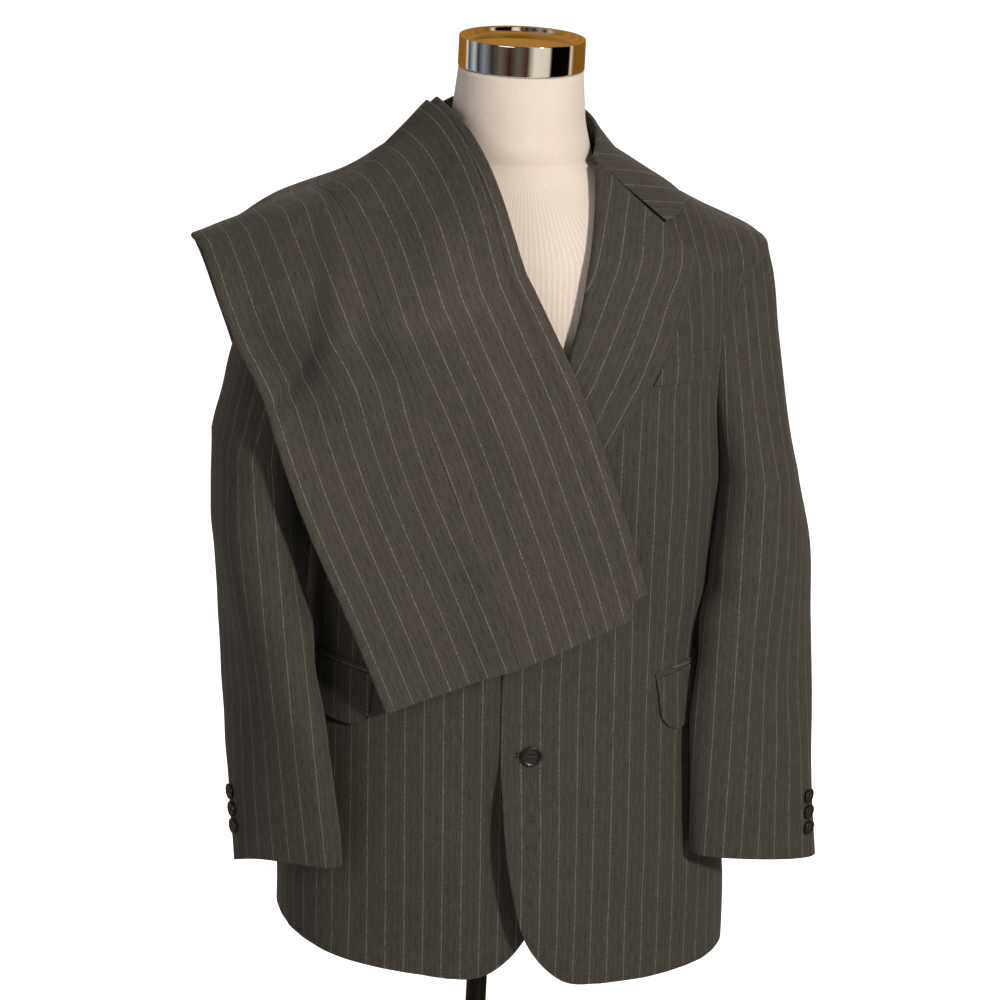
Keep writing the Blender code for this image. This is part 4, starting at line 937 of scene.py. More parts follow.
def arm_creases(turn, down, name):
    angle = np.radians(turn)
    across_m, along_m = angle * ARM_RADIUS, down * ARM_LENGTH
    rise = 0.0007 * swell_at(ARM_SWELLS[name], across_m, along_m)
    tilt = 0.012 if name == "left" else -0.010
    inside = 0.5 + 0.5 * np.cos(angle - np.radians(215))
    for at, depth, width in ((0.47, 0.0016, 0.016), (0.53, -0.0014, 0.014), (0.585, 0.0018, 0.017),
                             (0.65, -0.0010, 0.018), (0.75, 0.0009, 0.024)):
        line = down - at - tilt * np.sin(angle * 1.5 + at * 9)
        rise = rise + depth * inside ** 1.5 * fold(line * ARM_LENGTH, 0, width)
    if name == "left":
        rise = rise + 0.004 * fold(down, 0.46, 0.09) * np.maximum(np.cos(angle - np.radians(75)), 0)
    # The head is full where it is eased in, and dimples just under the seam.
    rise = rise + 0.0030 * fold(down, 0.07, 0.05) * np.maximum(np.sin(angle + 0.4), 0)
    return rise * smooth(down, 0.0, 0.05) * (1 - 0.6 * smooth(down, 0.93, 1.0))


def sleeve(turn, down, name, out=0.0):
    """`turn` is as round the armhole, and `down` runs from 0 at the seam to 1 at the cuff."""
    turn, down, out = floats(turn, down, out)
    out = out + arm_creases(turn, down, name)
    angle = np.radians(turn)
    drop = np.clip((down - CROWN) / (1 - CROWN), 0, 1) * 5
    height, at_x, at_y, outer, inner, half_y, yaw = (
        read(SLEEVE[name], column, drop) for column in SLEEVE_COLUMNS.split()[1:])
    half_x = np.where(np.sin(angle) < 0, inner, outer)
    x, y = half_x * bent(np.sin(angle), 0.9), half_y * bent(np.cos(angle), 0.9)
    slope_x, slope_y = x / half_x ** 2, y / half_y ** 2
    steep = np.maximum(np.hypot(slope_x, slope_y), 1e-9)
    x, y = x + slope_x / steep * out, y + slope_y / steep * out
    yaw = np.radians(yaw)
    rise = CUFF_RISE[name] * np.maximum(np.sin(angle), 0) ** 2 - CUFF_LEVEL[name] * np.cos(angle)
    rise = rise - CUFF_SLANT * y / half_y
    tube = joined(at_x + x * np.cos(yaw) + y * np.sin(yaw), at_y - x * np.sin(yaw) + y * np.cos(yaw),
                  height + rise * smooth(drop, 3.0, 5.0))
    start = trunk(*split(armhole(turn, SEAM)), out)
    knee = start + (tube - start) * np.array([0.42, 0.42, 0.46])
    t = np.clip(down / CROWN, 0, 1)[..., None]
    crown = start * (1 - t) ** 2 + knee * 2 * t * (1 - t) + tube * t * t
    return np.where((down < CROWN)[..., None], crown, tube)


print("cuff heights", [round(float(sleeve(90.0, 1.0, n)[2]), 3) for n, _ in SIDES])


# %% Grain of the sleeves
# How far to the wearer's left the stripes drift as they go down, as a share of the drop.
STRIPE_DRIFT = {"left": 0.0, "right": 0.12}
VIEW_LEVEL = np.array([math.cos(CAMERA_TURN), math.sin(CAMERA_TURN), 0.0])


def sleeve_grain(name, side):
    """(grid, downs, turns): metres across the stripes over the whole sleeve."""
    turns, downs = np.linspace(-90.0, 450.0, 541), np.linspace(0.0, 1.0, 121)
    points = sleeve(turns[None, :], downs[:, None], name)
    lengths = lengths_along(points, 1)
    last = int(np.searchsorted(downs, CROWN))
    # Below the crown the stripes hang plumb, seen on the line that faces the camera.
    drop = np.clip((downs - CROWN) / (1 - CROWN), 0, 1) * 5
    facing = 180 + 11 * side - read(SLEEVE[name], "turn", drop)
    line = swung(sleeve(facing, downs, name) * (side, 1, 1))
    moved = (line - line[last]) @ VIEW_LEVEL + STRIPE_DRIFT[name] * (line[:, 2] - line[last, 2])
    zero = [np.interp(turn, turns, row) for turn, row in zip(facing, lengths)]
    grain = lengths - (np.array(zero) + side * moved)[:, None]
    index = np.arange(len(turns), dtype=float)
    for row in range(last - 1, -1, -1):
        down_line = points[row + 1] - points[row]
        around_line = np.gradient(points[row + 1], axis=0)
        fall_line = np.array([0, 0, -1.0]) + 0.45 * unit(down_line)
        # How far round the next row the fall of the cloth lands.
        normal = np.cross(down_line, around_line)
        a = np.einsum("ij,ij->i", np.cross(fall_line, around_line), normal)
        b = np.einsum("ij,ij->i", np.cross(down_line, fall_line), normal)
        shift = np.clip(b / np.maximum(a, 1e-9), -7, 7)
        grain[row] = np.interp(index + shift, index, grain[row + 1])
    return grain, downs, turns


BACK_SLEEVE_SEAM, FRONT_SLEEVE_SEAM = 5.33, 217.75
SLEEVE_PARTS = (("top", BACK_SLEEVE_SEAM, FRONT_SLEEVE_SEAM),
                ("under", FRONT_SLEEVE_SEAM, 360 + BACK_SLEEVE_SEAM))
for name, side in SIDES:
    grain = sleeve_grain(name, side)
    for part, low, high in SLEEVE_PARTS:
        whole = joined(np.linspace(low, high, 61), np.linspace(0.0, 1.0, 121)[:, None])
        turn, down = split(fitted(whole, lambda turn, down: sleeve(turn, down, name)))
        middle = swung(sleeve(turn, down, name, -WALL / 2) * (side, 1, 1))
        uv = joined(grid_read(*grain, down, turn), lengths_along(middle, 0))
        cloth(f"cloth_sleeve_{part}_{name}", middle, WALL, uv, JACKET_CLOTH, [f"sleeve_{part}_{name}"], "lrb",
              rests_on=[f"cloth_front_{name}", f"cloth_back_{name}"])

# %% [markdown]
# ## Pockets
# The hip pockets have a jet, which is the narrow folded strip along the mouth, and a flap with
# rounded corners that hangs free of the front. The breast pocket has a single standing welt. All
# are cut so that their stripes carry on from the front's.

# %% Flaps, jets and welt
FLAP_DEPTH, FLAP_WIDTH, FLAP_CORNER, JET_DEPTH = 0.056, 0.150, 0.022, 0.006
HIP_POCKET = {"left": (0.1270, 0.8690, 0.16), "right": (0.1460, 0.8580, 0.02)}
FLAP_WALL, JET_WALL, WELT_WALL = 0.0018, 0.0014, 0.0016
WELT_TOP, WELT_DEPTH, WELT_START, WELT_END = 1.186, 0.025, 0.122, 0.176


def hip_places(name, along, below):
    reach, height, rise = HIP_POCKET[name]
    along, below = floats(along, below)
    z = height + rise * along - below
    # A slanting pocket's flap hangs a little square to its mouth.
    along = along + 0.7 * rise * below
    start = float(u_at(reach, height))
    return joined(start + along / arc_of(start, height), z)


def flap_depth(along):
    near = np.minimum(along, FLAP_WIDTH - along)
    corner = np.clip(1 - near / FLAP_CORNER, 0, 1)
    return FLAP_DEPTH - FLAP_CORNER * (1 - np.sqrt(1 - corner ** 2))


def pocket_part(name, side, places, out, thickness, turned_grain=False, **facts):
    """A small piece on a front; `out` gives its distance from u and the share of the way down."""
    u, z = split(fitted(places, trunk, 0.004))
    middle = on_jacket(u * side, z, out(u, np.linspace(0, 1, len(u))[:, None]))
    uv = joined(z, front_grain(u, z)) if turned_grain else joined(front_grain(u, z), z)
    below = "cloth_front_left" if side > 0 else "cloth_front_right"
    cloth(f"cloth_{name}", middle, thickness, uv, JACKET_CLOTH, [name], rests_on=[below], **facts)


for name, side in SIDES:
    line = 0.5 * FLAP_WIDTH * (1 - np.cos(np.linspace(0, math.pi, 81)))
    rows = np.linspace(0.0, 1.0, 31)[:, None]
    pocket_part(f"flap_{name}", side, hip_places(name, line, flap_depth(line) * rows),
                lambda u, hang: 0.0018 + 0.0016 * hang ** 1.5 + 0.0005 * np.sin(u * 60 + 1) * hang, FLAP_WALL)
    rows = np.linspace(-JET_DEPTH, -0.0003, 13)[:, None]
    pocket_part(f"jet_{name}", side, hip_places(name, np.linspace(0.0, FLAP_WIDTH, 61), rows),
                lambda u, hang: 0.0009 + 0.0004 * np.sin(math.pi * hang), JET_WALL, turned_grain=True,
                held="folded")
reach, drop = np.meshgrid(np.linspace(0.0, 1.0, 41), np.linspace(0.0, 1.0, 21))
reach = (WELT_START - 0.012 * drop) * (1 - reach) + WELT_END * reach
z = WELT_TOP - WELT_DEPTH * drop
pocket_part("breast_welt", 1, joined(u_at(reach, z), z), lambda u, hang: 0.0012, WELT_WALL, held="folded")

# %% [markdown]
# ## Trousers over the shoulder
# The trousers are pressed flat, leg on leg, and lie over the right shoulder: hems in front,
# waistband behind. A place on them is (row, share): rows go from the hems over the shoulder to
# the waist, and share goes across the leg from the back crease to the front one. To find how high
# the cloth lies, rays are sent down on the jacket; the cloth takes the highest points and spans
# the hollows like a taut skin.

# %% Drape of the folded legs
TROUSER = table(
    "row turn left_x left_z right_x right_z past",
    (0, 0, -0.126, 0.840, 0.105, 0.936, 0.020),
    (1, 0, -0.148, 0.893, 0.089, 0.983, 0.020),
    (2, 0, -0.170, 0.944, 0.071, 1.030, 0.021),
    (3, 0, -0.193, 0.995, 0.052, 1.078, 0.022),
    (4, 0, -0.214, 1.045, 0.034, 1.124, 0.022),
    (5, 0, -0.232, 1.095, 0.014, 1.170, 0.021),
    (6, 0, -0.246, 1.140, -0.008, 1.216, 0.020),
    (7, 0, -0.266, 1.180, -0.030, 1.262, 0.018),
    (8, 12, -0.284, 1.207, -0.048, 1.296, 0.015),
    (9, 35, -0.294, 1.217, -0.064, 1.312, 0.012),
    (10, 62, -0.298, 1.220, -0.076, 1.318, 0.010),
    (11, 90, -0.304, 1.221, -0.083, 1.320, 0.010),
    (12, 118, -0.302, 1.218, -0.080, 1.317, 0.010),
    (13, 145, -0.295, 1.210, -0.068, 1.308, 0.012),
    (14, 168, -0.279, 1.188, -0.046, 1.290, 0.015),
    (15, 180, -0.256, 1.140, -0.010, 1.246, 0.018),
    (16, 180, -0.240, 1.082, 0.030, 1.196, 0.020),
    (17, 180, -0.226, 1.024, 0.068, 1.148, 0.020),
    (18, 180, -0.216, 0.968, 0.106, 1.102, 0.018),
    (19, 180, -0.208, 0.912, 0.140, 1.056, 0.014),
    (20, 180, -0.202, 0.858, 0.168, 1.012, 0.010),
    (21, 180, -0.196, 0.806, 0.188, 0.968, 0.006),
    (22, 180, -0.190, 0.756, 0.202, 0.926, 0.004),
    (23, 180, -0.182, 0.718, 0.211, 0.888, 0.004),
)
WAIST_ROW, SIDE_SEAM_SHARE, LEFT_LEG_RISE = 22.0, 0.53, 0.32
REST_GAP, PLY_GAP = 0.0019, 0.0004
LOWER_LEG, INNER_LAYERS, PANEL, BAND = 0.0044, 0.0024, 0.0020, 0.0040
ROWS = np.concatenate([np.arange(0.0, 8.0), np.arange(8.0, 15.0, 0.5), np.arange(15.0, 24.0)])
SHARES = np.array([0.0, 0.09, 0.18, 0.27, 0.355, 0.44, 0.53, 0.61, 0.69, 0.77, 0.85, 0.925, 1.0, 1.1])
OVER = table("share up", (0.00, 0.034), (0.28, 0.025), (0.84, 0.030), (1.00, 0.058), (1.10, 0.068))
HANGING, FLATTER, STEP = 0.125, 0.40, 0.1
LIFTS, SETTLINGS, HOLD, RAY_LENGTH = 12, 33, 0.20, 0.6


def trouser_turn(row):
    return np.radians(np.clip(read(TROUSER, "turn", row), 0, 180))


def trouser_base(row, share):
    """The line of each row across the leg, at the form's middle, and the way out from it."""
    left, right = (joined(read(TROUSER, end + "_x", row), 0, read(TROUSER, end + "_z", row))
                   for end in ("left", "right"))
    turn = trouser_turn(row)
    return left + (right - left) * share[..., None], joined(0, -np.cos(turn), np.sin(turn))


def hanging(row, share):
    """How far out the cloth hangs on its own; past the shoulder's end it folds flatter."""
    turn = trouser_turn(row)
    flat = (1 - smooth(share, 0.0, 0.35)) * band(row, 3.5, 7.5, 14.5, 18.5)
    depth = HANGING * (1 - FLATTER * flat)
    return 1 / np.sqrt((np.cos(turn) / depth) ** 2 + (np.sin(turn) / read(OVER, "up", share)) ** 2)


def tree_over(objects):
    points, faces = [], []
    for made in objects:
        faces += [[v + len(points) for v in face.vertices] for face in made.data.polygons]
        points += [tuple(v.co) for v in made.data.vertices]
    return BVHTree.FromPolygons(points, faces)


def rest_heights(tree, base, out):
    """How far out the garment below reaches, along a ray sent in at each place."""
    heights = np.full(base.shape[:2], -1.0)
    for place in np.ndindex(*base.shape[:2]):
        start = base[place] + out[place] * RAY_LENGTH
        hit = tree.ray_cast(start.tolist(), (-out[place]).tolist(), RAY_LENGTH)
        if hit[0] is not None:
            heights[place] = RAY_LENGTH - hit[3]
    return heights


def neighbours(grid):
    """The mean of the four values beside each one; past the rim it counts itself."""
    padded = np.pad(grid, 1, mode="edge")
    return (padded[:-2, 1:-1] + padded[2:, 1:-1] + padded[1:-1, :-2] + padded[1:-1, 2:]) / 4


def first_skin(tree):
    """The underside of the lowest layer at the drafted stations."""
    rows = np.interp(np.arange(0, len(ROWS) - 1 + STEP / 2, STEP), np.arange(len(ROWS)), ROWS)
    shares = np.interp(np.arange(0, len(SHARES) - 1 + STEP / 2, STEP), np.arange(len(SHARES)), SHARES)
    rows, shares = np.meshgrid(rows, shares, indexing="ij")
    rest = rest_heights(tree, *trouser_base(rows, shares)) + REST_GAP
    own = hanging(*np.meshgrid(ROWS, SHARES, indexing="ij"))
    at_row, at_share = cell_of(ROWS, rows)[0], cell_of(SHARES, shares)[0]
    floor, skin = own.copy(), own.copy()
    for _ in range(LIFTS):
        short = rest - grid_read(skin, ROWS, SHARES, rows, shares)
        lift = np.zeros_like(skin)
        for di, dj in ((0, 0), (0, 1), (1, 0), (1, 1)):
            np.maximum.at(lift, (at_row + di, at_share + dj), short)
        floor = np.maximum(floor, np.where(lift > 0, skin + lift, 0.0))
        for _ in range(SETTLINGS):
            skin = np.maximum(own + neighbours(skin - own) * 4 / (4 + HOLD), floor)
    return skin


worn = [made for name, made in frame["nodes"].items()
        if not name.startswith(("trousers", "waistband", "belt", "back_pocket", "stand", "pole", "neck_cap"))]
skin = first_skin(tree_over(worn))
print("skin over the solids:", round(float(skin.min()), 3), "to", round(float(skin.max()), 3), "m out")

# %% Finer skin with the folds of pressed wool
# Where the hanging leg turns in over the sleeve, one soft fold runs from its edge up to the ridge.
FOLD = table(
    "row share depth",
    (5.4, -0.02, 0.0),
    (5.75, 0.02, 0.003),
    (6.05, 0.11, 0.006),
    (6.6, 0.21, 0.007),
    (7.4, 0.30, 0.007),
    (8.0, 0.36, 0.006),
    (8.65, 0.39, 0.004),
    (9.4, 0.44, 0.0),
)
FOLD_LEG_WIDTH = 0.285


def main_fold(rows, shares):
    """The rise of the cloth by the fold, and how far its stripes are shifted there, in metres."""
    depth = read(FOLD, "depth", rows)
    past = (shares - read(FOLD, "share", rows)) * FOLD_LEG_WIDTH
    valley, bulge = fold(past, 0, np.where(past < 0, 0.030, 0.009)), fold(past, 0.026, 0.015)
    shift = 0.5 * depth * smooth(past, -0.006, 0.006) * np.exp(-np.maximum(past, 0) / 0.05)
    return depth * (0.6 * bulge - valley), shift


FINE_ROWS, FINE_SHARES = np.linspace(0.0, 23.0, 277), np.linspace(0.0, 1.1, 71)
fine_skin = through(SHARES, through(ROWS, skin, FINE_ROWS).T, FINE_SHARES).T
row_grid, share_grid = np.meshgrid(FINE_ROWS, FINE_SHARES, indexing="ij")
ROW_LENGTH, MEAN_LEG_WIDTH = 0.055, 0.27  # metres from one drafted row to the next, and across a leg
CLEARANCE, LIFT_ROUNDS, SPREAD_ROUNDS, SPREAD = 0.0012, 14, 9, 0.985
LEG_SWELLS = swells(52, 9, 0.05, 0.14, 0.35)
fine_skin = fine_skin + 0.0006 * swell_at(LEG_SWELLS, share_grid * MEAN_LEG_WIDTH, row_grid * ROW_LENGTH)
fine_skin = fine_skin + main_fold(row_grid, share_grid)[0]
jacket_tree = tree_over([o for o in bpy.data.objects if o.name.startswith("cloth_")])
floor = rest_heights(jacket_tree, *trouser_base(row_grid, share_grid)) + CLEARANCE
for _ in range(LIFT_ROUNDS):
    lift = np.maximum(floor - fine_skin, 0)
    for _ in range(SPREAD_ROUNDS):
        lift = np.maximum(lift, SPREAD * neighbours(lift))
    fine_skin = fine_skin + lift
missing = 1000 * float(np.maximum(floor - fine_skin, 0).max())
print("lifted to clear the jacket;", round(missing, 3), "mm still missing")


def on_trousers(rows, shares, off):
    rows, shares, off = floats(rows, shares, off)
    base, out = trouser_base(rows, shares)
    return base + out * (grid_read(fine_skin, FINE_ROWS, FINE_SHARES, rows, shares) + off)[..., None]


# %% [markdown]
# ## Legs
# Each leg is a front and a back panel sewn together down the outside and the inside. Pressed
# flat, each panel folds round its own crease. The upper leg is made that way, as two sheets that
# meet at the side seam on top and at the inside seam below. The lower leg shows only the strip by
# its front crease, so it is one sheet folded round.

# %% Folded panels
FOLD_TURNS = np.radians(np.linspace(90, -90, 9))[1:-1]


def leg_width(row):
    return np.hypot(read(TROUSER, "right_x", row) - read(TROUSER, "left_x", row),
                    read(TROUSER, "right_z", row) - read(TROUSER, "left_z", row))


def folded_panel(rows, seam, crease, under, top_off, low_off):
    """Across each row: from the seam on top to the crease, round it, and back below to `under`."""
    width = leg_width(rows)[:, None]
    radius = (top_off - low_off) / 2
    side = np.sign(crease[0] - seam)
    centre = crease[:, None] - side * (radius + PANEL / 2) / width
    near = EDGE_STEPS[None, :] / width * side
    inner = np.linspace(0.0, 1.0, 30)[None, :]
    start = seam + near[:, -1:]
    top = np.concatenate([seam + near, start + (centre - start) * inner[:, 1:]], axis=1)
    bend = centre + side * radius * np.cos(FOLD_TURNS)[None, :] / width
    stop = under + near[:, -1:]
    low = np.concatenate([centre + (stop - centre) * inner[:, :-1], (under + near)[:, ::-1]], axis=1)
    shares = np.concatenate([top, bend, low], axis=1)
    middle = (top_off + low_off) / 2
    offs = np.concatenate([np.full(top.shape[1], top_off), middle + radius * np.sin(FOLD_TURNS),
                           np.full(low.shape[1], low_off)])
    return shares, np.broadcast_to(offs, shares.shape)


def rows_between(low, high):
    """Rows close together at both ends, where hem and seam roll, and about 5 mm apart between."""
    near = EDGE_STEPS / ROW_LENGTH
    middle = np.linspace(low + near[-1], high - near[-1], int((high - low) * 11))
    return np.concatenate([low + near, middle[1:-1], high - near[::-1]])


CREASE_LIFT = 0.0034
top_off = LOWER_LEG + PLY_GAP + INNER_LAYERS + PLY_GAP + PANEL / 2
low_off = LOWER_LEG + PLY_GAP + PANEL / 2
rows = rows_between(0.0, WAIST_ROW)
for name, crease, under in (("front", 1.0, SIDE_SEAM_SHARE + 0.004), ("back", 0.0, SIDE_SEAM_SHARE - 0.004)):
    shares, offs = folded_panel(rows, SIDE_SEAM_SHARE, np.full_like(rows, crease), under, top_off, low_off)
    past = (crease - shares) * leg_width(rows)[:, None]
    if crease:
        # The front crease stands off the lower leg a little, along the chest.
        chest = band(rows, 0.2, 2.0, 9.0, 12.0)
        offs = offs + CREASE_LIFT * fold(past, 0, 0.016) * chest[:, None]
    middle = on_trousers(rows[:, None], shares, offs)
    grain = past * (1 if crease else -1) + main_fold(rows[:, None], shares)[1]
    nodes = ["trousers_right_front", "trousers_right_inner"] if crease else ["trousers_right_back"]
    cloth(f"cloth_leg_right_{name}", middle, PANEL, joined(grain, lengths_along(middle, 0)), TROUSER_CLOTH,
          nodes, "lrt", held="folded",
          rests_on=["cloth_front_right", "cloth_back_right", "cloth_sleeve_top_right"])

rows = rows_between(LEFT_LEG_RISE, WAIST_ROW)
crease = 1.0 + read(TROUSER, "past", rows) / leg_width(rows)
shares, offs = folded_panel(rows, 0.015, crease, 0.018, LOWER_LEG - PANEL / 2, PANEL / 2)
middle = on_trousers(rows[:, None], shares, offs)
grain = (crease[:, None] - shares) * leg_width(rows)[:, None]
cloth("cloth_leg_left", middle, PANEL, joined(grain, lengths_along(middle, 0)), TROUSER_CLOTH,
      ["trousers_left_leg"], "lrt", held="folded",
      rests_on=["cloth_front_left", "cloth_front_right", "cloth_back_right"])

# %% Waistband, belt loops and back pocket
LOOP_SHARES, LOOP_WIDTH, LOOP_WALL = (0.06, 0.30, 0.58, 0.84), 0.026, 0.0016


def patch(name, row_ends, share_ends, off, thickness, nodes, turned_grain=False, **facts):
    """A flat piece of trouser cloth between two rows and two shares."""
    rows, shares = np.meshgrid(np.linspace(*row_ends, 21), np.linspace(*share_ends, 61), indexing="ij")
    places = fitted(joined(rows, shares), lambda rows, shares: on_trousers(rows, shares, off), 0.005)
    middle = on_trousers(*split(places), off + thickness / 2)
    uv = joined(lengths_along(middle, 1), lengths_along(middle, 0))
    uv = uv[..., ::-1] + 0.004 if turned_grain else uv
    cloth(name, middle, thickness, uv, TROUSER_CLOTH, nodes, held="folded", **facts)


patch("cloth_band_left", (WAIST_ROW, 23.0), (0.01, 1.0), 0.0, LOWER_LEG, ["waistband_left"],
      rests_on=["cloth_back_right", "cloth_back_left"])
patch("cloth_band_right", (WAIST_ROW, 23.0), (0.0, 1.0), LOWER_LEG + PLY_GAP, BAND, ["waistband_right"],
      rests_on=["cloth_band_left"])
loop_off = LOWER_LEG + PLY_GAP + BAND + 0.0004
for number, share in enumerate(LOOP_SHARES, 1):
    patch(f"cloth_belt_loop_{number}", (WAIST_ROW + 0.06, WAIST_ROW + 0.96), (share, share + LOOP_WIDTH),
          loop_off, LOOP_WALL, [f"belt_loop_{number}"], turned_grain=True, rests_on=["cloth_band_right"])
panel_top = top_off + PANEL / 2
patch("cloth_back_pocket", (20.62, 20.82), (0.17, 0.45), panel_top + 0.0003, 0.0014, ["back_pocket_welt"],
      turned_grain=True, rests_on=["cloth_leg_right_back"])

# %% [markdown]
# ## Horn buttons
# The buttons are turned from dark horn: a raised rim round a dished face, with four holes and
# the crossed thread that holds them. Horn is polished, so it carries small bright highlights and
# faint streaks of a lighter brown.

# %% Horn
def horn(name):
    made, tree, shader, place = fresh_material(name, "TexCoord")
    # Horn's streaks are about 1.5 mm apart and drawn out along the disc.
    streaks = noise(tree, place, (260.0, 260.0, 900.0), 4.0, "3D")
    feed(shader, {
        "Base Color": mixed(tree, ranged(tree, streaks, 0.35, 0.75), "#131110", "#2C2723"),
        "Roughness": ranged(tree, streaks, 0.0, 1.0, 0.22, 0.36), "IOR": 1.54, "Specular IOR Level": 0.3,
    })
    return made


HORN = horn("horn_button")
THREAD = worsted("button_thread", "#57514A", "#615A52", "#57514A")
BUTTONHOLE_THREAD = worsted("buttonhole_twist", "#1F1C18", "#282420", "#1F1C18")


# %% Button shape
DISH, HOLE_OUT, HOLE_DEPTH = 0.0028, 0.0021, 0.0014
BUTTON_PROFILE = [(0.0, 0.0), (0.0, 0.45), (0.0002, 0.66), (0.0009, 0.90), (0.0016, 0.97), (0.0024, 1.0),
                  (0.0031, 0.985), (0.0036, 0.94), (0.0037, 0.88), (0.0035, 0.81), (0.0031, 0.74),
                  (0.0029, 0.68), *((DISH, share) for share in np.linspace(0.64, 0.02, 26)), (DISH, 0.0)]
THREAD_OUT, THREAD_RADIUS = 0.0015, 0.00038
FRONT_BUTTON_RADIUS, SLEEVE_BUTTON_RADIUS = 0.0102, 0.0076
CUFF_BUTTON_TURN, CUFF_DROP = 46.0, 0.397  # round the sleeve, and metres from the crown to the hem
CUFF_BUTTON_RISES = (0.033, 0.049, 0.065)


def sewn_button(name, place, axis, radius, node):
    """A disc of rings with four holes pressed into its face, and the two strands that cross them."""
    axis, scale = unit(np.asarray(axis, float)), radius / FRONT_BUTTON_RADIUS
    first = unit(np.cross(axis, (0.0, 0.0, 1.0) if abs(axis[2]) < 0.9 else (1.0, 0.0, 0.0)))
    second = np.cross(axis, first)
    turn = round_turns(96)
    rings = []
    for height, share in BUTTON_PROFILE:
        x, y = share * radius * np.cos(turn), share * radius * np.sin(turn)
        rise = np.full(len(turn), height * (0.7 + 0.3 * scale))
        for a in math.pi / 4 + round_turns(4) if height == DISH else ():
            gap = np.hypot(x - HOLE_OUT * scale * math.cos(a), y - HOLE_OUT * scale * math.sin(a))
            rise = rise - HOLE_DEPTH * (1 - smooth(gap, 0.0006 * scale, 0.0010 * scale))
        rings.append(place + x[:, None] * first + y[:, None] * second + rise[:, None] * axis)
    ring_piece(f"button_{name}", rings, HORN, [node], np.zeros((len(rings), len(turn), 2)))
    sign, t, turn = np.meshgrid((-1, 1), np.linspace(0, 1, 13), round_turns(8), indexing="ij")
    x, y = sign * THREAD_OUT * scale, (2 * t - 1) * THREAD_OUT * scale
    x, rise = x + THREAD_RADIUS * scale * np.cos(turn), 0.0018 + 0.0013 * np.sin(math.pi * t)
    rise = rise + THREAD_RADIUS * scale * np.sin(turn)
    strands = place + joined(x, y, rise) @ np.array([first, second, axis])
    ring_piece(f"thread_{name}", strands, THREAD, [], joined(turn * 0.4 / math.pi, t * 0.003))


FRONT_BUTTONS = (("lower", 0.797), ("upper", 0.905))
for name, height in FRONT_BUTTONS:
    place = on_jacket(0.0, height, float(lap_lift(0.0, height)) + 0.0004)
    sewn_button(f"front_{name}", place, trunk_normal(0.0, height), FRONT_BUTTON_RADIUS,
                f"front_button_{name}")
BUTTONHOLE_REACH, BUTTONHOLE_HALF, STITCH = (-0.0135, 0.0105), 0.0011, 0.0003
HOLE_SECTION = ((1.7, -0.0006), (1.75, 0.0002), (1.45, 0.0007), (1.1, 0.0006), (0.9, 0.0001), (0.45, -0.0002),
                (0.0, -0.0002))


def buttonhole(name, height):
    """A worked buttonhole: a raised ring of twist round a dark slit, with an eye at its outer end."""
    turn = round_turns(72)
    low, high = BUTTONHOLE_REACH
    along = (low + high) / 2 + (high - low) / 2 * bent(np.cos(turn), 0.25)
    eye = 1 + 0.9 * (1 - smooth(along, low, low + 0.004))
    across_m = BUTTONHOLE_HALF * eye * bent(np.sin(turn), 0.5)
    rings = []
    for grow, out in HOLE_SECTION:
        reach = along + np.sign(along - (low + high) / 2) * (grow - 1) * BUTTONHOLE_HALF * np.cos(turn) ** 2
        z = height + across_m * grow
        u = u_at(reach, z)
        stitches = STITCH * (np.sin(turn * 36) > 0) * (0.9 < grow < 1.7)
        rings.append(on_jacket(u, z, lap_lift(u, z) + out + stitches))
    uv = joined(turn * 0.004, np.arange(len(rings))[:, None] * 0.0004)
    ring_piece(name, rings, BUTTONHOLE_THREAD, [], uv)


for name, height in FRONT_BUTTONS:
    buttonhole(f"buttonhole_{name}", height)
for name, side in SIDES:
    for number, rise in enumerate(CUFF_BUTTON_RISES, 1):
        down = 1 - (1 - CROWN) * rise / CUFF_DROP
        place = sleeve(CUFF_BUTTON_TURN, down, name, 0.0004)
        axis = (sleeve(CUFF_BUTTON_TURN, down, name, 0.010) - place) * (side, 1, 1)
        sewn_button(f"cuff_{name}_{number}", swung(place * (side, 1, 1)), axis, SLEEVE_BUTTON_RADIUS,
                    f"cuff_button_{name}_{number}")
place = on_trousers(20.40, np.array([0.31]), panel_top + 0.0004)[0]
sewn_button("back_pocket", place, (0.0, 1.0, 0.0), SLEEVE_BUTTON_RADIUS, "back_pocket_button")
print("buttons made")

# %% [markdown]
# ## The dress form
# The form is a padded torso covered in cream jersey, a fine knit that shows as faint vertical
# ribs. Its neck ends in a polished chrome cap, and it stands on an enamelled steel pole with a
# heavy round base.

# %% Jersey, chrome and steel
def jersey(name):
    made, tree, shader, place = fresh_material(name, "UVMap", uv_map="cloth")
    # A jersey's wales are 0.8 mm apart; they are drawn 2 mm apart so that they show.
    ribs = put(tree, "TexWave", {"Vector": place, "Scale": 80.0, "Distortion": 0.6, "Detail": 2.0}, 1,
               wave_type="BANDS", bands_direction="X")
    knit = reckon(tree, "MULTIPLY", ribs, noise(tree, place, 420.0, 3.0))
    hue = mixed(tree, noise(tree, place, 14.0, 2.0), "#E9D9CB", "#F2E6DA")
    feed(shader, {
        "Base Color": toned(tree, ranged(tree, knit, 0.0, 0.6, 0.86, 1.0), hue),
        "Roughness": 0.9, "Sheen Weight": 0.2, "Normal": bump(tree, 0.4, 0.0004, knit),
    })
    return made


def chrome(name):
    """Polished chrome plate: a clear mirror with a few faint wipe marks."""
    made, tree, shader, place = fresh_material(name, "TexCoord")
    marks = noise(tree, place, 60.0, 4.0, "3D")
    feed(shader, {"Base Color": mixed(tree, marks, "#D8D6D2", "#E6E4E0"), "Metallic": 1.0,
                  "Roughness": ranged(tree, marks, 0.4, 0.7, 0.03, 0.09)})
    return made


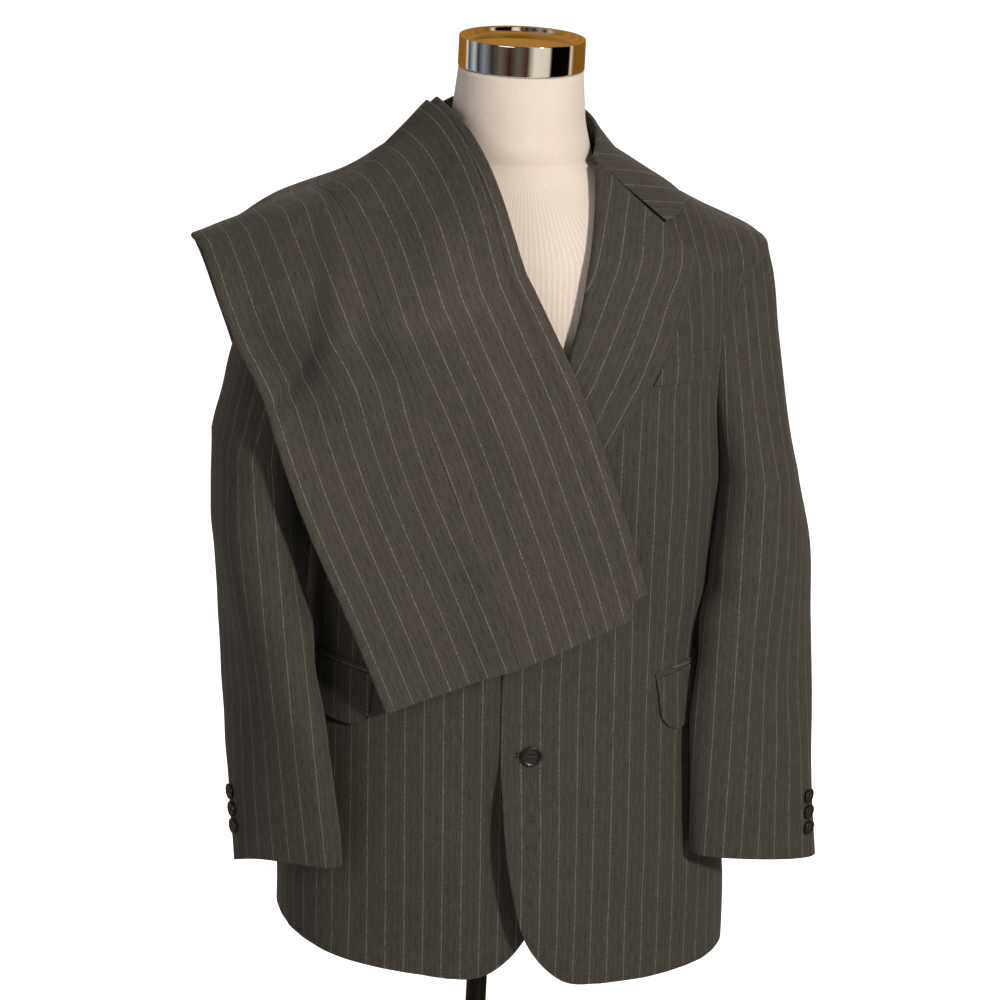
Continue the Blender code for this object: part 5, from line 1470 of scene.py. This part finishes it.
def enamel(name):
    """Black stoved enamel on steel, with a slight orange-peel ripple."""
    made, tree, shader, place = fresh_material(name, "TexCoord")
    dust = noise(tree, place, 25.0, 5.0, "3D")
    feed(shader, {
        "Base Color": mixed(tree, dust, "#14110E", "#1F1A16"),
        "Roughness": ranged(tree, dust, 0.3, 0.7, 0.38, 0.55), "Specular IOR Level": 0.25,
        "Normal": bump(tree, 0.15, 0.0003, noise(tree, place, 350.0, 2.0, "3D")),
    })
    return made


JERSEY, CHROME, STEEL = jersey("jersey_knit"), chrome("chrome_plate"), enamel("black_enamel")
print("finishes", JERSEY.name, CHROME.name, STEEL.name)

# %% Torso and neck
FORM = table(
    "height clear",
    (0.700, 0.0300), (0.712, 0.0225), (0.740, 0.0210), (0.840, 0.0190), (0.960, 0.0160), (1.050, 0.0140),
    (1.130, 0.0125), (1.190, 0.0108), (1.240, 0.0095), (1.262, 0.0085), (1.285, 0.0072), (1.310, 0.0074),
    (1.334, 0.0094),
)
NECK = table(
    "height radius_x radius_y y",
    (1.347, 0.0730, 0.0655, 0.006),
    (1.360, 0.0695, 0.0690, 0.006),
    (1.380, 0.0640, 0.0640, 0.003),
    (1.405, 0.0610, 0.0610, 0.001),
    (1.4305, 0.0585, 0.0585, 0.000),
)
FORM_SIDES = 144


def capped_rings(name, rings, finish, nodes):
    """A solid through closed rings, its flat ends drawn in to a point by two more rings."""
    rings = np.asarray(rings, float)
    ends = [rings[0].mean(0), rings[-1].mean(0)]
    first = [ends[0] + (rings[0] - ends[0]) * s for s in (0.0, 0.5, 0.97)]
    last = [ends[1] + (rings[-1] - ends[1]) * s for s in (0.97, 0.5, 0.0)]
    points = np.concatenate([first, rings, last])
    reach = np.linalg.norm(rings.reshape(-1, 3)[:, :2], axis=1).mean()
    made = ring_piece(name, points, finish, nodes,
                      joined(np.abs(round_turns(points.shape[1]) - math.pi) * reach, points[..., 2]))
    print(name, len(made.data.polygons), "faces")


u = np.arange(FORM_SIDES) * 2 / FORM_SIDES - 1 + 1e-6
heights = np.concatenate([np.linspace(0.700, 0.745, 10), np.linspace(0.76, 1.334, 58)])
body_rings = []
for height in heights:
    ring = trunk(u, height, -read(FORM, "clear", height))
    ring[:, 2] = height + (ring[:, 2] - height) * smooth(height, 0.70, 0.72)
    body_rings.append(ring)
flat = unit(body_rings[-3][:, :2] * (0.62, 1.0))
for height in np.linspace(1.347, 1.4305, 22):
    radius_x, radius_y, y = (read(NECK, name, height) for name in ("radius_x", "radius_y", "y"))
    body_rings.append(joined(flat[:, 0] * radius_x, flat[:, 1] * radius_y + y, height))
capped_rings("form_body", body_rings, JERSEY, ["form_torso"])


# %% Cap, pole and base
def turned(name, profile, finish, node, sides=128):
    """A piece turned about the upright axis from (height, radius) pairs."""
    turn = round_turns(sides)
    circle = joined(np.cos(turn), np.sin(turn), 0)
    capped_rings(name, [circle * radius + (0, 0, height) for height, radius in profile], finish, [node])


def eased(corners, radius=0.0008, steps=4):
    """A profile whose inner corners are rounded by short arcs."""
    corners = np.array(corners, float)
    out = [corners[0]]
    for before, at, after in zip(corners, corners[1:], corners[2:]):
        a, b = before - at, after - at
        cut = min(radius, np.linalg.norm(a) / 2.5, np.linalg.norm(b) / 2.5)
        p, q = at + a / np.linalg.norm(a) * cut, at + b / np.linalg.norm(b) * cut
        for t in np.linspace(0, 1, steps):
            out.append(p * (1 - t) ** 2 + at * 2 * t * (1 - t) + q * t * t)
    return out + [corners[-1]]


CAP_RADIUS, CAP_LOW = 0.0592, 1.4310
CAP_TOP = CAP_LOW + 0.0290
POLE_RADIUS = 0.0105
turned("cap_chrome", eased([(CAP_LOW, CAP_RADIUS - 0.0015), (CAP_LOW + 0.001, CAP_RADIUS),
                            (CAP_TOP, CAP_RADIUS - 0.0002), (CAP_TOP, CAP_RADIUS - 0.0045),
                            (CAP_TOP - 0.0045, CAP_RADIUS - 0.0085), (CAP_TOP - 0.0060, CAP_RADIUS - 0.0130)],
                           0.0012, 6), CHROME, "neck_cap", 192)
turned("socket_steel", eased([(0.6817, 0.020), (0.6857, 0.026), (0.6997, 0.030)]), STEEL, "pole_socket")
turned("pole_steel", [(height, POLE_RADIUS) for height in (0.0703, 0.2, 0.4, 0.6814)], STEEL, "pole")
turned("base_steel", eased([(0.0, 0.169), (0.001, 0.170), (0.007, 0.170), (0.010, 0.166), (0.012, 0.040),
                            (0.020, 0.022), (0.068, 0.018), (0.070, 0.016)], 0.003, 6), STEEL, "stand_base")

# %% [markdown]
# ## Floor and light
# A pale floor runs far back so that it fills the view behind the form. One fairly small lamp, up
# and to the right of the camera, gives the crisp shadows under flaps and edges. A large soft
# one and the pale room fill them in. The room also has a few dark and bright bands, which only a
# mirror such as the chrome cap makes visible.

# %% Floor
def studio_floor():
    made, tree, shader, place = fresh_material("studio_floor", "TexCoord")
    away = put(tree, "VectorMath", {0: place}, "Value", operation="LENGTH")
    # The floor glows with painted light standing in for a lamp behind it: its emission is weak by the form,
    # where the form's own shadow shows, and grows with distance until the sweep is plain white.
    feed(shader, {"Base Color": linear("#F1F0EE"), "Roughness": 0.9, "Emission Color": linear("#FFFFFF"),
                  "Emission Strength": ranged(tree, away, 0.5, 1.3, 0.45, 1.0, soft=True)})
    mesh = bpy.data.meshes.new("floor")
    mesh.from_pydata([(-40, -30, 0), (40, -30, 0), (40, 60, 0), (-40, 60, 0)], [], [(0, 1, 2, 3)])
    mesh.materials.append(made)
    floor_piece = placed("floor", mesh)
    # The sweep shows only to the camera, so it neither washes out the cloth nor fills the chrome.
    floor_piece.visible_diffuse = floor_piece.visible_glossy = False


studio_floor()


# %% Lamps
def lamp(name, place, aim, size, power, colour):
    light = bpy.data.lights.new(name, "AREA")
    light.shape, light.size, light.energy = "DISK", size, power
    light.color = linear(colour)[:3]
    made = placed(name, light)
    made.location = place
    made.rotation_euler = (Vector(aim) - Vector(place)).to_track_quat("-Z", "Y").to_euler()
    return made


lamp("lamp_key", (1.22, -2.72, 2.38), (0.0, 0.0, 1.05), 0.30, 74.0, "#FFFAF2")
lamp("lamp_soft", (-1.9, -2.3, 2.2), (0.0, 0.0, 1.0), 1.6, 16.0, "#FFFFFF")
# The lamp behind lights the shoulders' edges; the chrome doesn't mirror it.
lamp("lamp_back", (1.2, 2.6, 2.4), (0.0, 0.0, 1.0), 1.8, 34.0, "#FFFFFF").visible_glossy = False


# %% Room round the mirror
ROOM = (("#8A5A1C", 0.00), ("#9A6A28", 0.160), ("#F4EBDD", 0.172), ("#39414B", 0.195), ("#C7CDD2", 0.235),
        ("#2A2F36", 0.262), ("#8D949A", 0.300), ("#33302E", 0.345), ("#6E6458", 0.395), ("#3A1C14", 0.440),
        ("#6A6258", 0.485), ("#4A2A1E", 0.530), ("#F6EEDD", 0.566), ("#EFE4D0", 0.640), ("#050404", 0.655),
        ("#0A0807", 0.765), ("#F6E8CC", 0.778), ("#8C5E22", 0.800), ("#8A5A1C", 1.00))
ROOM_TURN = 0.03


def room():
    """Soft light from all round; only the chrome shows that the room has dark and bright parts."""
    world = bpy.data.worlds.new("room")
    bpy.context.scene.world = world
    world.use_nodes = True
    tree = world.node_tree
    place = put(tree, "TexCoord", out="Generated")
    x, y, z = put(tree, "SeparateXYZ", {0: place}).node.outputs
    # The turn is 0 straight behind the form, grows by way of its left side, and is 0.5 in front.
    share = ranged(tree, reckon(tree, "ARCTAN2", x, y), -math.pi, math.pi, 1.0, 0.0)
    ramp = put(tree, "ValToRGB", {0: reckon(tree, "FRACT", reckon(tree, "ADD", share, 0.5 + ROOM_TURN))})
    stops = ramp.node.color_ramp.elements
    while len(stops) < len(ROOM):
        stops.new(0.5)
    for stop, (colour, at) in zip(stops, ROOM):
        stop.position, stop.color = at, linear(colour)
    # Above eye level and behind the form the room is warm wood.
    up, behind = ranged(tree, z, 0.05, 0.12, soft=True), ranged(tree, y, 0.05, 0.40, soft=True)
    amber = mixed(tree, noise(tree, place, 3.0, 2.0, "3D"), "#7C4C14", "#D39A4E")
    # Cloth takes its fill light from a grey that is darker above; the camera sees the sweep's white.
    fill = mixed(tree, ranged(tree, z, 0.1, 0.8, soft=True), "#9B9998", "#777675")
    rays = put(tree, "LightPath").node.outputs
    seen = mixed(tree, reckon(tree, "MULTIPLY", up, behind), ramp, amber)
    even = mixed(tree, rays["Is Glossy Ray"], fill, seen)
    feed(tree.nodes["Background"], {0: mixed(tree, rays["Is Camera Ray"], even, "#FFFFFF")})


room()
print("room with", len(ROOM), "parts")
